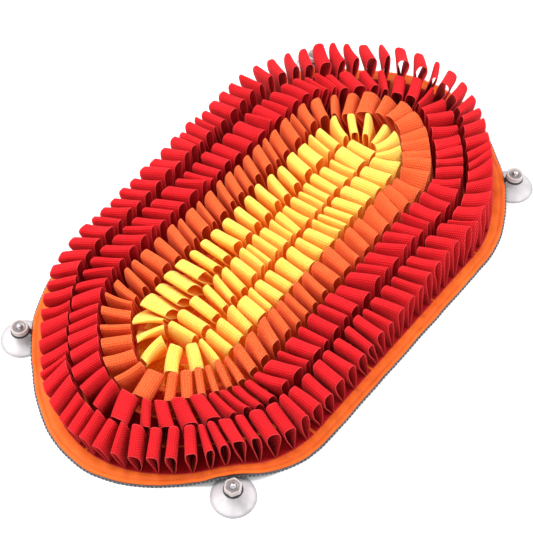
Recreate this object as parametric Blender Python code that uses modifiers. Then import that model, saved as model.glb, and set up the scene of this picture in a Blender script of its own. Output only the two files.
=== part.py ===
"""Snuffle mat: pleated ribbon loops sewn in rings on an oval cloth base, with four suction cups.

The mat lies flat with its long side along X. The origin is on the surface it rests on, under its middle.
Sizes in the constants are millimetres, and every mesh is made in metres.
"""

import bisect
import math
import random

import bmesh
import bpy
from mathutils import Vector

MM = 0.001

# Base: two cloth layers with round ends.
STRAIGHT_HALF = 120.0
BASE_RADIUS = 154.0
BACKING_THICK = 1.5
CLOTH_THICK = 1.5
GAP = 0.4
# How much each corner of the outline is drawn in, as a share of the end radius.
CORNER_FLATNESS = {"left_far": 0.062, "right_far": 0.060, "right_near": 0.065, "left_near": 0.095}
OUTLINE_STEP = 30.0
CUP_STATIONS = (-44.0, -32.0, -22.0, -14.0, -6.0, 0.0, 6.0, 14.0, 22.0, 32.0, 44.0)
FLAT_INSET = 38.0
BACKING_OVERHANG = 1.2

# Ribbon.
RIBBON_WIDTH = 26.2
RIBBON_THICK = 1.0
FOOT_PINCH = 2.2
LOOP_GAP = 0.6
LEAN_HEIGHT = 38.0
MIN_CELL = 5.6
MAX_CELL = 17.5
# How far a crest on a bend keeps to the width that it has at its narrower edge, from 0 to 1.
EVEN_WIDTH = 0.7

# Suction cups, with the screw, nut and elastic strap of each.
CUP_PLACES = {
    "left_far": (-214.8, 123.2),
    "left_near": (-212.0, -125.0),
    "right_near": (213.3, -123.6),
    "right_far": (213.9, 124.1),
}
CUP_STEPS = 12
CUP_PROFILE = (
    (0.0, 8.4), (3.1, 8.4), (3.1, 13.2), (5.4, 13.2), (5.4, 9.4), (7.4, 7.0),
    (19.0, 1.6), (20.0, 0.8), (20.0, 0.0), (18.6, 0.0), (12.0, 2.4), (0.0, 3.4),
)
SCREW_STEPS = 8
SCREW_PROFILE = ((0.0, 24.0), (2.0, 23.5), (2.68, 22.3), (2.68, 8.75), (0.0, 8.75))
NUT_PROFILE = ((3.6, 21.2), (7.2, 21.2), (8.0, 20.3), (8.0, 16.1), (7.2, 15.2), (3.6, 15.2))
NUT_STEPS = {"left_far": 10, "left_near": 6, "right_near": 10, "right_far": 6}
STRAP_WIDTH = 6.0
STRAP_THICK = 1.2
STRAP_LEVEL = 14.2
EYE_RADIUS = 6.3
EYE_HOLE = 3.45
EYE_THICK = 1.4
RIM_LIFT = 7.6
LIFT_NEAR = 10.0
LIFT_FAR = 50.0
STRAP_ROOT = 5.0
STRAP_BUMP = 2.2
BUMP_NEAR = 9.0
BUMP_FAR = 26.0
FOOT_ROOM = 2.8
FOOT_ROOM_NEAR = 46.0
FOOT_ROOM_FAR = 74.0

# Rings of ribbon, outermost first. half_straight and radius give the line that the ribbon's middle follows.
RINGS = {
    "outer": {"half_straight": 118.0, "radius": 130.0, "flatness": 0.078, "seed": 11},
    "inner": {"half_straight": 122.0, "radius": 97.5, "flatness": 0.079, "seed": 23},
    "orange": {"half_straight": 126.5, "radius": 65.0, "flatness": 0.083, "seed": 31},
    "yellow": {"half_straight": 127.5, "radius": 32.5, "flatness": 0.030, "seed": 47},
    "centre": {"half_straight": 138.5, "radius": 0.0, "flatness": 0.0, "seed": 59},
}

# Pleating of each ring, clockwise from above from its left tip, a row for each section:
# span in mm, loops, height, lean along the row, yaw of the crest, outward fall, tilt of the crest, fullness.
# Yaw is how far along the row the crest's outer edge stands ahead of its middle.
COLUMNS = ("span", "loops", "height", "lean", "yaw", "fall", "tilt", "full")
SECTIONS = {
    "outer": (
        (95, 7, 34, 2, -5.8, 6, 2.5, 0.92),
        (95, 6, 38, -4, -4.8, 0, 3.0, 0.95),
        (80, 6, 38, -3, -6.6, 2, 3.0, 0.90),
        (80, 6, 39, 0, -2.8, 7, 3.0, 0.95),
        (80, 6, 38, 2, 1.4, 9, 3.0, 0.85),
        (95, 7, 39, 1, -2.2, 12, 3.5, 0.80),
        (95, 6, 41, 3, -3.8, 14, 4.5, 0.85),
        (95, 6, 38, 2, -9.0, 4, 3.5, 0.95),
        (95, 6, 38, -4, -6.2, -4, 0.5, 1.00),
        (80, 6, 40, -6, -8.0, -9, 0.0, 0.85),
        (80, 6, 40, 2, -3.8, -5, 0.5, 0.80),
        (80, 5, 38, 7, 0.0, -4, 1.0, 0.95),
        (95, 7, 38, 9, -4.0, -5, 1.5, 1.00),
        (95, 7, 35, 6, -0.8, 2, 2.5, 0.85),
    ),
    "inner": (
        (72, 5, 37, 0, -1.2, 5, 1.0, 0.92),
        (72, 5, 39, -3, -6.0, 3, 1.0, 0.95),
        (80, 6, 39, -2, -9.2, 4, 0.5, 0.92),
        (80, 6, 39, 0, -5.4, 4, 0.5, 0.95),
        (80, 6, 39, 2, -3.2, 3, 0.5, 0.88),
        (72, 6, 39, 2, -6.0, 5, 1.0, 0.92),
        (72, 5, 39, 3, -4.4, 6, 2.0, 0.95),
        (72, 5, 38, 2, -1.0, 1, 1.5, 1.00),
        (72, 5, 40, -2, -2.6, -5, 0.5, 1.00),
        (80, 6, 40, -4, -4.8, -9, 0.0, 0.90),
        (80, 6, 40, 1, -6.0, -6, 0.0, 0.88),
        (80, 6, 40, 4, -2.4, -4, 0.0, 0.90),
        (72, 5, 38, 5, -8.0, -5, 0.5, 0.92),
        (72, 4, 37, 3, -5.6, 1, 1.0, 0.95),
    ),
    "orange": (
        (50, 3, 36, 1, 1.2, 4, 1.0, 1.00),
        (50, 4, 38, -2, 2.6, 3, 0.5, 0.88),
        (80, 6, 39, -1, 0.8, 3, 0.0, 0.88),
        (80, 6, 39, 0, 4.6, 2, 0.0, 0.85),
        (80, 6, 39, 1, 6.2, 3, 0.0, 0.82),
        (50, 3, 40, 2, 3.6, 2, 0.5, 0.95),
        (50, 2, 39, 4, 5.6, 0, 0.5, 1.00),
        (50, 3, 37, 3, -1.0, -2, 0.5, 1.00),
        (50, 3, 38, 0, -2.2, -6, 0.0, 1.00),
        (80, 7, 39, 0, 1.4, -7, 0.0, 0.85),
        (80, 6, 40, 2, 2.8, -4, 0.0, 0.85),
        (80, 6, 40, 3, 4.2, -4, 0.0, 0.85),
        (50, 4, 37, 3, -1.2, -2.5, 0.5, 0.85),
        (50, 3, 34, 2, 0.0, 0, 1.0, 1.00),
    ),
    "yellow": (
        (25, 1, 35, 0, -8.6, 4, 1.5, 1.00),
        (25, 1, 35, 0, -2.4, 0, 0.5, 1.00),
        (80, 6, 38, -1, -2.4, 3, 0.5, 0.90),
        (80, 6, 39, 0, 0.6, 3, 0.5, 0.88),
        (80, 6, 40, 1, 3.6, 3, 0.5, 0.85),
        (50, 3, 40, 3, 1.2, 1, 0.5, 0.90),
        (17, 1, 36, 3, -4.2, -2, 0.5, 1.00),
        (33, 2, 36, 3, -5.6, -5, 0.5, 1.00),
        (80, 7, 37, 1, -4.8, -5, 0.0, 0.92),
        (80, 6, 36, 1, -0.4, -2, 0.0, 0.88),
        (80, 6, 35, 2, 1.2, -1, 0.0, 0.90),
        (33, 2, 33, 1, 1.2, -2.5, 1.0, 1.00),
        (17, 1, 33, 1, -5.8, 1, 1.0, 1.00),
    ),
    "centre": (
        (40, 2, 36, -5, -0.2, 0, 0.0, 1.00),
        (68, 6, 36, 0, 2.4, 1, 0.0, 0.80),
        (70, 6, 36, 1, -0.4, 2, 0.0, 0.88),
        (68, 6, 37, 1, -2.4, 3, 0.0, 0.85),
        (35, 2, 38, 5, -2.8, 3, 0.0, 1.00),
    ),
}

# Lengths of ribbon that each ring is sewn from: name and first loop. A length runs up to the next one.
LENGTHS = {
    "outer": (
        ("red_outer_left_tip", 0), ("red_outer_far_corner_a", 6), ("red_outer_far_a", 14),
        ("red_outer_far_b", 19), ("red_outer_far_c", 27), ("red_outer_far_corner_b", 32),
        ("red_outer_right_tip", 41), ("red_outer_near_corner_a", 47), ("red_outer_near_a", 56),
        ("red_outer_near_b", 61), ("red_outer_near_c", 68), ("red_outer_near_corner_b", 73),
    ),
    "inner": (
        ("red_inner_left_far", 0), ("red_inner_far", 13), ("red_inner_right_far", 26),
        ("red_inner_right_near", 38), ("red_inner_near", 52), ("red_inner_left_near", 64),
    ),
    "orange": (
        ("orange_left_far", 0), ("orange_far", 10), ("orange_right", 23),
        ("orange_near", 36), ("orange_left_near", 50),
    ),
    "yellow": (("yellow_far", 0), ("yellow_right", 18), ("yellow_near", 30), ("yellow_left", 42)),
    "centre": (("yellow_centre", 0),),
}
RING_FINISH = {"outer": "red", "inner": "red", "orange": "orange", "yellow": "yellow", "centre": "yellow"}


def make_material(name, colour, roughness, metallic=0.0, transmission=0.0):
    material = bpy.data.materials.new(name)
    material.use_nodes = True
    shader = material.node_tree.nodes["Principled BSDF"]
    shader.inputs["Base Color"].default_value = (*colour, 1.0)
    shader.inputs["Roughness"].default_value = roughness
    shader.inputs["Metallic"].default_value = metallic
    shader.inputs["Transmission Weight"].default_value = transmission
    return material


def smooth_step(low, high, value):
    share = min(1.0, max(0.0, (value - low) / (high - low)))
    return share * share * (3.0 - 2.0 * share)


# ---- Lines in plan -------------------------------------------------------------------------------


def oval_line(half_straight, radius, flatness):
    """Closed line clockwise from the left tip: straight sides and ends whose corners are drawn in."""
    if radius == 0.0:
        return [(-half_straight, 0.0), (half_straight, 0.0)]
    points = []
    for degree in range(180, -180, -2):
        angle = math.radians(degree)
        side = "far" if degree > 0 else "near"
        end = "left" if abs(degree) > 90 else "right"
        drawn_in = flatness[f"{end}_{side}"] if isinstance(flatness, dict) else flatness
        reach = radius * (1.0 - drawn_in * math.sin(2.0 * angle) ** 2)
        centre = -half_straight if end == "left" else half_straight
        if degree == 90:
            points.append((-half_straight, reach))
        points.append((centre + reach * math.cos(angle), reach * math.sin(angle)))
        if degree == -90:
            points.append((-half_straight, -reach))
    points.append(points[0])
    return points


class Line:
    """A line in plan that can be asked for its point, direction and outward side at any distance."""

    def __init__(self, points):
        self.points = [Vector(point) for point in points]
        self.closed = (self.points[0] - self.points[-1]).length < 1e-9
        self.marks = [0.0]
        for here, ahead in zip(self.points, self.points[1:]):
            self.marks.append(self.marks[-1] + (ahead - here).length)
        self.length = self.marks[-1]

    def place(self, distance):
        if self.closed:
            distance %= self.length
        index = min(max(bisect.bisect_right(self.marks, distance) - 1, 0), len(self.points) - 2)
        start, end = self.points[index], self.points[index + 1]
        share = (distance - self.marks[index]) / (self.marks[index + 1] - self.marks[index])
        return start.lerp(end, share)

    def frame(self, distance, reach=4.0):
        along = (self.place(distance + reach) - self.place(distance - reach)).normalized()
        return self.place(distance), along, Vector((-along.y, along.x))

    def bend(self, distance, reach=8.0):
        """Curvature, in 1/mm, where the line turns round the mat's middle."""
        before = self.frame(distance - reach)[1]
        after = self.frame(distance + reach)[1]
        return max(0.0, before.angle_signed(after)) / (2.0 * reach)

    def nearest(self, x, y):
        steps = [self.length * step / 720 for step in range(720)]
        return min(steps, key=lambda distance: (self.place(distance) - Vector((x, y))).length)


BASE_LINE = Line(oval_line(STRAIGHT_HALF, BASE_RADIUS, CORNER_FLATNESS))


# ---- Where the mat's edge rides over the suction cups ----------------------------------------------


def strap_roots():
    """For each cup: its centre, the point of the mat's edge next to it and the direction inward."""
    roots = {}
    for name, (x, y) in CUP_PLACES.items():
        edge = BASE_LINE.place(BASE_LINE.nearest(x, y))
        roots[name] = (Vector((x, y)), edge, (edge - Vector((x, y))).normalized())
    return roots


STRAP_ROOTS = strap_roots()


def cup_distance(x, y):
    return min((centre - Vector((x, y))).length for centre, _, _ in STRAP_ROOTS.values())


def edge_lift(x, y):
    """Height of the backing's underside over the surface: nothing but near a cup."""
    return RIM_LIFT * (1.0 - smooth_step(LIFT_NEAR, LIFT_FAR, cup_distance(x, y)))


def cloth_lift(x, y):
    """Height of the top cloth's underside over the surface, with room for the strap ends."""
    here = Vector((x, y))
    root = min(
        (edge + inward * STRAP_ROOT * 0.5 - here).length for _, edge, inward in STRAP_ROOTS.values()
    )
    room = STRAP_BUMP * (1.0 - smooth_step(BUMP_NEAR, BUMP_FAR, root))
    return edge_lift(x, y) + BACKING_THICK + GAP + room


def foot_level(x, y):
    """Height that a sewn foot of ribbon lies at: on the top cloth, with more room where that bulges."""
    room = FOOT_ROOM * (1.0 - smooth_step(FOOT_ROOM_NEAR, FOOT_ROOM_FAR, cup_distance(x, y)))
    return cloth_lift(x, y) + CLOTH_THICK + GAP + room


# ---- Base ----------------------------------------------------------------------------------------


def outline_stations():
    """Distances along the base's outline: its right tip, and closer together where it rides over a cup."""
    near_cups = []
    for x, y in CUP_PLACES.values():
        middle = BASE_LINE.nearest(x, y)
        near_cups += [(middle + step) % BASE_LINE.length for step in CUP_STATIONS]
    steps = round(BASE_LINE.length / OUTLINE_STEP)
    even = [BASE_LINE.length * step / steps for step in range(steps)]
    fixed = near_cups + [BASE_LINE.nearest(STRAIGHT_HALF + BASE_RADIUS, 0.0)]
    clear = [d for d in even if min(abs(d - other) for other in fixed) > OUTLINE_STEP * 0.45]
    return sorted(fixed + clear)


def build_sheet(name, overhang, thickness, level, material, collection):
    """A flat oval layer: a border that follows the lifted edge, and a flat middle."""
    mesh = bmesh.new()
    stations = outline_stations()
    sides = []
    for height in (0.0, thickness):
        rings = []
        for inset in (-overhang, FLAT_INSET):
            ring = []
            for distance in stations:
                point, _, outward = BASE_LINE.frame(distance)
                place = point - outward * inset
                corner = Vector((place.x, place.y, level(place.x, place.y) + height))
                ring.append(mesh.verts.new(corner * MM))
            rings.append(ring)
        sides.append(rings)
    under, over = sides
    count = len(stations)
    for index in range(count):
        ahead = (index + 1) % count
        for outer, inner in zip(over, over[1:]):
            mesh.faces.new((outer[index], outer[ahead], inner[ahead], inner[index]))
        for outer, inner in zip(under, under[1:]):
            mesh.faces.new((outer[index], inner[index], inner[ahead], outer[ahead]))
        mesh.faces.new((under[0][index], under[0][ahead], over[0][ahead], over[0][index]))
    mesh.faces.new(over[-1])
    mesh.faces.new(list(reversed(under[-1])))
    return finish_mesh(name, mesh, material, collection)


def finish_mesh(name, mesh, material, collection):
    bmesh.ops.recalc_face_normals(mesh, faces=mesh.faces)
    data = bpy.data.meshes.new(name)
    mesh.to_mesh(data)
    mesh.free()
    data.materials.append(material)
    made = bpy.data.objects.new(name, data)
    collection.objects.link(made)
    return made


# ---- Pleats --------------------------------------------------------------------------------------


def section_loops(ring, draw):
    """The loops of a ring's sections, with a height, lean and so on that run smoothly between sections."""
    sections = [dict(zip(COLUMNS, row)) for row in SECTIONS[ring]]
    closed = RINGS[ring]["radius"] > 0.0
    loops = []
    for index, section in enumerate(sections):
        at_end = not closed and index == len(sections) - 1
        before = sections[index - 1] if index or closed else section
        ahead = section if at_end else sections[(index + 1) % len(sections)]
        shares = [draw.uniform(0.80, 1.20) for _ in range(section["loops"])]
        passed = 0.0
        for share in shares:
            loop = dict(section, pitch=section["span"] * share / sum(shares))
            offset = (passed + share * 0.5) / sum(shares) - 0.5
            passed += share
            toward = ahead if offset > 0.0 else before
            for key in ("height", "lean", "yaw", "fall", "tilt"):
                loop[key] += (toward[key] - section[key]) * abs(offset)
            loops.append(loop)
    return loops


def pleat_plan(ring):
    """Each loop of a ring as a dictionary, with the two cell walls it stays between.

    A wall stands at a distance along the ring and leans by the mm it has moved at LEAN_HEIGHT, plus or
    minus the yaw at the ribbon's outer and inner edge. Neighbours share a wall, so they never meet.
    """
    size = RINGS[ring]
    draw = random.Random(size["seed"])
    line = Line(oval_line(size["half_straight"], size["radius"], size["flatness"]))
    loops = section_loops(ring, draw)
    scale = line.length / sum(loop["pitch"] for loop in loops)
    total = len(loops)
    lean_noise = yaw_noise = fall_noise = 0.0
    at = 0.0
    for index, loop in enumerate(loops):
        ahead = loops[(index + 1) % total]
        loop["pitch"] *= scale
        loop["start"] = at
        at += loop["pitch"]
        fade = 0.0 if index == total - 1 else 1.0
        lean_noise = fade * (0.55 * lean_noise + draw.uniform(-4.2, 4.2))
        yaw_noise = fade * (0.45 * yaw_noise + draw.uniform(-2.4, 2.4))
        fall_noise = fade * (0.3 * fall_noise + draw.uniform(-0.5, 0.5))
        loop["wall_lean"] = 0.5 * (loop["lean"] + ahead["lean"]) + lean_noise
        loop["wall_yaw"] = 0.5 * (loop["yaw"] + ahead["yaw"]) + yaw_noise
        loop["fall"] += fall_noise
        loop["height"] += draw.uniform(-2.6, 2.6)
        loop["full"] *= draw.uniform(0.86, 1.0)
        loop["foot"] = draw.uniform(-1.0, 1.0)
    settle_walls(loops, line)
    return line, loops


def settle_walls(loops, line):
    """Bring walls that came too close, or too far apart, back to a width a loop can have."""
    last = len(loops) - 1 if line.closed else len(loops)
    for _ in range(6):
        for index in range(last):
            loop, before = loops[index], loops[index - 1]
            if index == 0 and not line.closed:
                before = {"wall_lean": 0.0, "wall_yaw": 0.0}
            bend = line.bend(loop["start"] + loop["pitch"] * 0.5)
            turn = crest_turn(0.5 * (loop["wall_yaw"] + before["wall_yaw"]))
            for side in (-1.0 / turn, 1.0 / turn):
                stretch = 1.0 + side * RIBBON_WIDTH * 0.5 * bend
                width = loop["pitch"] + loop["wall_lean"] - before["wall_lean"]
                width += side * (loop["wall_yaw"] - before["wall_yaw"])
                short = MIN_CELL * turn / stretch - width
                wide = width - MAX_CELL * turn / stretch
                if short > 0.0:
                    loop["wall_lean"] += short * 0.5
                    loop["wall_yaw"] += side * short * 0.5
                if wide > 0.0:
                    loop["wall_lean"] -= wide
        if line.closed:
            loops[-1]["wall_lean"] = loops[-1]["lean"]
            loops[-1]["wall_yaw"] = loops[-1]["yaw"]


def crest_turn(yaw):
    """Length of a turned crest over its reach across the row."""
    return math.hypot(1.0, yaw / (RIBBON_WIDTH * 0.5))


def wall_distance(loop, height, side, ahead):
    """Where the wall before or after a loop stands at a height, at the edge that side gives (-1 to 1)."""
    wall = loop if ahead else loop["before"]
    at = loop["start"] + (loop["pitch"] if ahead else 0.0)
    return at + (wall["wall_lean"] + wall["wall_yaw"] * side) * height / LEAN_HEIGHT


def cell_room(loop, line, height, side):
    """A loop's room at a height along one edge of its crest: middle, half width and the edge's reach.

    A turned crest reaches less far across the row. On a bend the room is wider at its outer edge, but the
    ribbon keeps nearly the width of its narrower edge.
    """
    half = RIBBON_WIDTH * 0.5
    turn = crest_turn(0.5 * (loop["wall_yaw"] + loop["before"]["wall_yaw"]) * height / LEAN_HEIGHT)
    bend = line.bend(loop["start"] + loop["pitch"] * 0.5)
    inset = (RIBBON_THICK * 0.62 + LOOP_GAP * 0.5) * turn
    widths = []
    for reach in (-side / turn, side / turn):
        low = wall_distance(loop, height, reach, False)
        high = wall_distance(loop, height, reach, True)
        stretch = 1.0 + reach * half * bend
        widths.append((high - low) * 0.5 * stretch - inset)
    other, own = widths
    own -= max(0.0, own - other) * EVEN_WIDTH
    return (low + high) * 0.5, own / stretch * loop["full"], reach


# Points of a loop from its first foot to its last: share of the height, share of the half width.
LOOP_SHAPE = ((0.0, None), (0.60, -1.0), (0.975, -0.56), (0.975, 0.56), (0.60, 1.0), (0.0, None))


def loop_path(loop, line, side):
    """The ribbon's middle surface along one of its edges, as points in mm."""
    half = RIBBON_WIDTH * 0.5
    middle = loop["start"] + loop["pitch"] * 0.5
    edge_height = loop["height"] - loop["tilt"] * side
    points = []
    for index, (level, across) in enumerate(LOOP_SHAPE):
        height = edge_height * level
        centre, width, reach = cell_room(loop, line, height, side)
        if across is None:
            pinch = FOOT_PINCH * 0.5 / (1.0 + side * half * line.bend(middle))
            distance = middle + loop["foot"] + (pinch if index else -pinch)
        else:
            distance = centre + width * across
        point, _, outward = line.frame(distance)
        place = point + outward * (reach * half + loop["fall"] * level ** 1.2)
        ground = point + outward * (side * half)
        rise = foot_level(ground.x, ground.y) + RIBBON_THICK * 0.5
        points.append(Vector((place.x, place.y, rise + height)))
    return points


def ribbon_faces(name, inner, outer, material, collection):
    """A thin closed strip through two rows of points, its inner and its outer edge."""
    mesh = bmesh.new()
    rings = []
    last = len(inner) - 1
    for index in range(last + 1):
        across = (outer[index] - inner[index]).normalized()
        ring = []
        for row in (inner, outer):
            sides = []
            for start in (index - 1, index):
                if 0 <= start < last:
                    sides.append((row[start + 1] - row[start]).cross(across).normalized())
            normal = sum(sides, Vector()).normalized()
            push = RIBBON_THICK * 0.5 / max(0.55, normal.dot(sides[0]))
            ring.append(mesh.verts.new((row[index] + normal * push) * MM))
            ring.append(mesh.verts.new((row[index] - normal * push) * MM))
        rings.append(ring)
    for here, ahead in zip(rings, rings[1:]):
        in_top, in_under, out_top, out_under = here
        next_in_top, next_in_under, next_out_top, next_out_under = ahead
        over = [in_top, out_top, next_out_top, next_in_top]
        under = [in_under, next_in_under, next_out_under, out_under]
        if next_in_top.co.z < in_top.co.z:
            # A face folds along the line up from its inner corner, so that neighbours' faces fold alike.
            over = over[1:] + over[:1]
            under = under[1:] + under[:1]
        mesh.faces.new(over)
        mesh.faces.new(under)
        mesh.faces.new((out_top, out_under, next_out_under, next_out_top))
        mesh.faces.new((in_top, next_in_top, next_in_under, in_under))
    for ring in (rings[0], rings[-1]):
        mesh.faces.new((ring[0], ring[1], ring[3], ring[2]))
    return finish_mesh(name, mesh, material, collection)


def build_ring(ring, material, collection):
    line, loops = pleat_plan(ring)
    for index, loop in enumerate(loops):
        loop["before"] = loops[index - 1] if index or line.closed else {"wall_lean": 0.0, "wall_yaw": 0.0}
    names = [name for name, _ in LENGTHS[ring]]
    firsts = [first for _, first in LENGTHS[ring]] + [len(loops)]
    for name, first, end in zip(names, firsts, firsts[1:]):
        edges = []
        for side in (-1.0, 1.0):
            points = []
            for loop in loops[first:end]:
                points += loop_path(loop, line, side)
            edges.append(tail_ends(points, loops[first], loops[end - 1], line, side))
        ribbon_faces(name, edges[0], edges[1], material, collection)


def tail_ends(points, first, last, line, side):
    """Add the flat ends of a length of ribbon, half a gap short of where the next length starts."""
    ends = []
    for distance in (first["start"] + LOOP_GAP, last["start"] + last["pitch"] - LOOP_GAP):
        point, _, outward = line.frame(distance)
        place = point + outward * (side * RIBBON_WIDTH * 0.5)
        ends.append(Vector((place.x, place.y, foot_level(place.x, place.y) + RIBBON_THICK * 0.5)))
    return [ends[0]] + points + [ends[1]]


# ---- Suction cups --------------------------------------------------------------------------------


def build_turned(name, profile, steps, place, closed, material, collection):
    data = bpy.data.meshes.new(name)
    count = len(profile)
    edges = [(index, index + 1) for index in range(count - 1)]
    if closed:
        edges.append((count - 1, 0))
    data.from_pydata([(radius * MM, 0.0, height * MM) for radius, height in profile], edges, [])
    data.materials.append(material)
    made = bpy.data.objects.new(name, data)
    made.location = (place[0] * MM, place[1] * MM, 0.0)
    collection.objects.link(made)
    turn = made.modifiers.new("Turn", "SCREW")
    turn.steps = steps
    turn.render_steps = steps
    turn.use_merge_vertices = True
    turn.merge_threshold = 0.00001
    return made


def lift_inside(edge, inward, inset):
    """Height of the backing's underside some way in from its edge, along the border's straight slope."""
    foot = edge + inward * FLAT_INSET
    high, low = edge_lift(edge.x, edge.y), edge_lift(foot.x, foot.y)
    return high + (low - high) * inset / FLAT_INSET


def strap_path(centre, edge, inward):
    """The band's middle from its eye to its sewn end, as distances inward from the cup and heights."""
    reach = (edge - centre).length
    above = BACKING_THICK + GAP + 0.2 + STRAP_THICK * 0.5
    rest = lift_inside(edge, inward, 1.4) + above
    end = lift_inside(edge, inward, STRAP_ROOT) + above
    return (
        (EYE_RADIUS - 1.7, STRAP_LEVEL), (EYE_RADIUS + 0.4, STRAP_LEVEL),
        (reach - 0.8, rest + 0.9), (reach + 1.4, rest), (reach + STRAP_ROOT, end),
    )


def build_strap(name, place_name, material, collection):
    centre, edge, inward = STRAP_ROOTS[place_name]
    sideways = Vector((-inward.y, inward.x))
    rows = []
    for side in (-1.0, 1.0):
        row = []
        for distance, height in strap_path(centre, edge, inward):
            place = centre + inward * distance + sideways * (side * STRAP_WIDTH * 0.5)
            row.append(Vector((place.x, place.y, height)))
        rows.append(row)
    band = bmesh.new()
    rings = []
    for left, right in zip(*rows):
        up = Vector((0.0, 0.0, STRAP_THICK * 0.5))
        corners = (left + up, left - up, right - up, right + up)
        rings.append([band.verts.new(corner * MM) for corner in corners])
    for here, ahead in zip(rings, rings[1:]):
        for first in range(4):
            second = (first + 1) % 4
            band.faces.new((here[first], here[second], ahead[second], ahead[first]))
    band.faces.new(rings[0])
    band.faces.new(rings[-1])
    band = finish_mesh(name, band, material, collection)

    low = STRAP_LEVEL - EYE_THICK * 0.5
    high = STRAP_LEVEL + EYE_THICK * 0.5
    eye_profile = ((EYE_HOLE, high), (EYE_RADIUS, high), (EYE_RADIUS, low), (EYE_HOLE, low))
    cutters = bpy.data.collections["cutters"]
    eye = build_turned(f"{name}_eye", eye_profile, 8, centre, True, material, cutters)
    eye.hide_render = True
    eye.display_type = "WIRE"
    join = band.modifiers.new("Eye", "BOOLEAN")
    join.operation = "UNION"
    join.object = eye
    return band


def main():
    for made in list(bpy.data.objects):
        bpy.data.objects.remove(made)
    parts = bpy.data.collections.new("snuffle_mat")
    cutters = bpy.data.collections.new("cutters")
    for collection in (parts, cutters):
        bpy.context.scene.collection.children.link(collection)

    ribbons = {
        "red": make_material("red_ribbon", (0.80, 0.012, 0.022), 0.85),
        "orange": make_material("orange_ribbon", (0.88, 0.20, 0.06), 0.85),
        "yellow": make_material("yellow_ribbon", (0.95, 0.80, 0.17), 0.85),
    }
    orange_cloth = make_material("orange_cloth", (0.85, 0.16, 0.012), 0.5)
    backing_mesh = make_material("backing_mesh", (0.17, 0.19, 0.22), 0.8)
    clear_plastic = make_material("clear_plastic", (0.92, 0.93, 0.94), 0.08, transmission=0.9)
    steel = make_material("steel", (0.62, 0.62, 0.63), 0.25, metallic=1.0)
    black_elastic = make_material("black_elastic", (0.012, 0.012, 0.014), 0.8)

    build_sheet("base_backing", BACKING_OVERHANG, BACKING_THICK, edge_lift, backing_mesh, parts)
    build_sheet("base_cloth", 0.0, CLOTH_THICK, cloth_lift, orange_cloth, parts)
    for ring in RINGS:
        build_ring(ring, ribbons[RING_FINISH[ring]], parts)
    for name, place in CUP_PLACES.items():
        build_turned(f"cup_{name}", CUP_PROFILE, CUP_STEPS, place, False, clear_plastic, parts)
        build_turned(f"screw_{name}", SCREW_PROFILE, SCREW_STEPS, place, False, steel, parts)
        build_turned(f"nut_{name}", NUT_PROFILE, NUT_STEPS[name], place, True, clear_plastic, parts)
        build_strap(f"strap_{name}", name, black_elastic, parts)


if __name__ == "__main__":
    main()
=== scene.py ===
"""Looks of the snuffle mat: pleated ribbon, base cloth with its stitching, dotted mesh, cups and straps.

It is laid out as an add-on. Sizes are millimetres unless a name or a property says otherwise, and every
mesh is made in metres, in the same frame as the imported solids.
"""

import bisect
import math
import random

import bmesh
import bpy
import numpy as np
from mathutils import Matrix, Vector, noise


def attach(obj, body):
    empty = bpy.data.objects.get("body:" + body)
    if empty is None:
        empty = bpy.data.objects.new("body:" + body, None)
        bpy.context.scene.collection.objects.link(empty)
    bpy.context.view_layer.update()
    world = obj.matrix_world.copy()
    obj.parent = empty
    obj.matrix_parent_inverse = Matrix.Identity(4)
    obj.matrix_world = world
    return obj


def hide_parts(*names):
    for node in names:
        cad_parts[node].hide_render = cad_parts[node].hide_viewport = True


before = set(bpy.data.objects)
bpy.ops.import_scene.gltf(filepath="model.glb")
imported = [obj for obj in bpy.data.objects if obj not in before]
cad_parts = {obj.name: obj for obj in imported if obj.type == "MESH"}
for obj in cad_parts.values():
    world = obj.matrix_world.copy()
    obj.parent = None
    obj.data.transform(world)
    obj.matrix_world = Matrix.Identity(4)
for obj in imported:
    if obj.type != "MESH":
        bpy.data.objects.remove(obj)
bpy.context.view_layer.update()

bl_info = {
    "name": "Snuffle mat",
    "version": (1, 0, 0),
    "blender": (4, 5, 0),
    "location": "3D View > Sidebar > Snuffle mat",
    "description": "Builds the looks of a pleated ribbon snuffle mat around its solids",
    "category": "Object",
}

MM = 0.001
BODY = "root"
UV_NAME = "cloth"
WHITE = (1.0, 1.0, 1.0)

# ---- Sizes of the mat, as in its solids -------------------------------------------------------------

STRAIGHT_HALF = 120.0
BASE_RADIUS = 154.0
BACKING_THICK = 1.5
CLOTH_THICK = 1.5
GAP = 0.4
CORNER_FLATNESS = {"left_far": 0.062, "right_far": 0.060, "right_near": 0.065, "left_near": 0.095}
BACKING_OVERHANG = 1.2

RIBBON_WIDTH = 26.2
SOLID_RIBBON_THICK = 1.0
LOOP_GAP = 0.6
LEAN_HEIGHT = 38.0
MIN_CELL = 5.6
MAX_CELL = 17.5
# How far a crest on a bend keeps to the width that it has at its narrower edge, from 0 to 1.
EVEN_WIDTH = 0.95

CUP_PLACES = {
    "left_far": (-214.8, 123.2),
    "left_near": (-212.0, -125.0),
    "right_near": (213.3, -123.6),
    "right_far": (213.9, 124.1),
}
STRAP_LEVEL = 14.2
EYE_RADIUS = 6.3
CUP_RADIUS = 20.0
RIM_LIFT = 7.6
LIFT_NEAR = 10.0
LIFT_FAR = 50.0
STRAP_ROOT = 5.0
STRAP_BUMP = 2.2
BUMP_NEAR = 9.0
BUMP_FAR = 26.0

RINGS = {
    "outer": {"half_straight": 118.0, "radius": 130.0, "flatness": 0.078, "seed": 11},
    "inner": {"half_straight": 122.0, "radius": 97.5, "flatness": 0.079, "seed": 23},
    "orange": {"half_straight": 126.5, "radius": 65.0, "flatness": 0.083, "seed": 31},
    "yellow": {"half_straight": 127.5, "radius": 32.5, "flatness": 0.030, "seed": 47},
    "centre": {"half_straight": 138.5, "radius": 0.0, "flatness": 0.0, "seed": 59},
}

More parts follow.
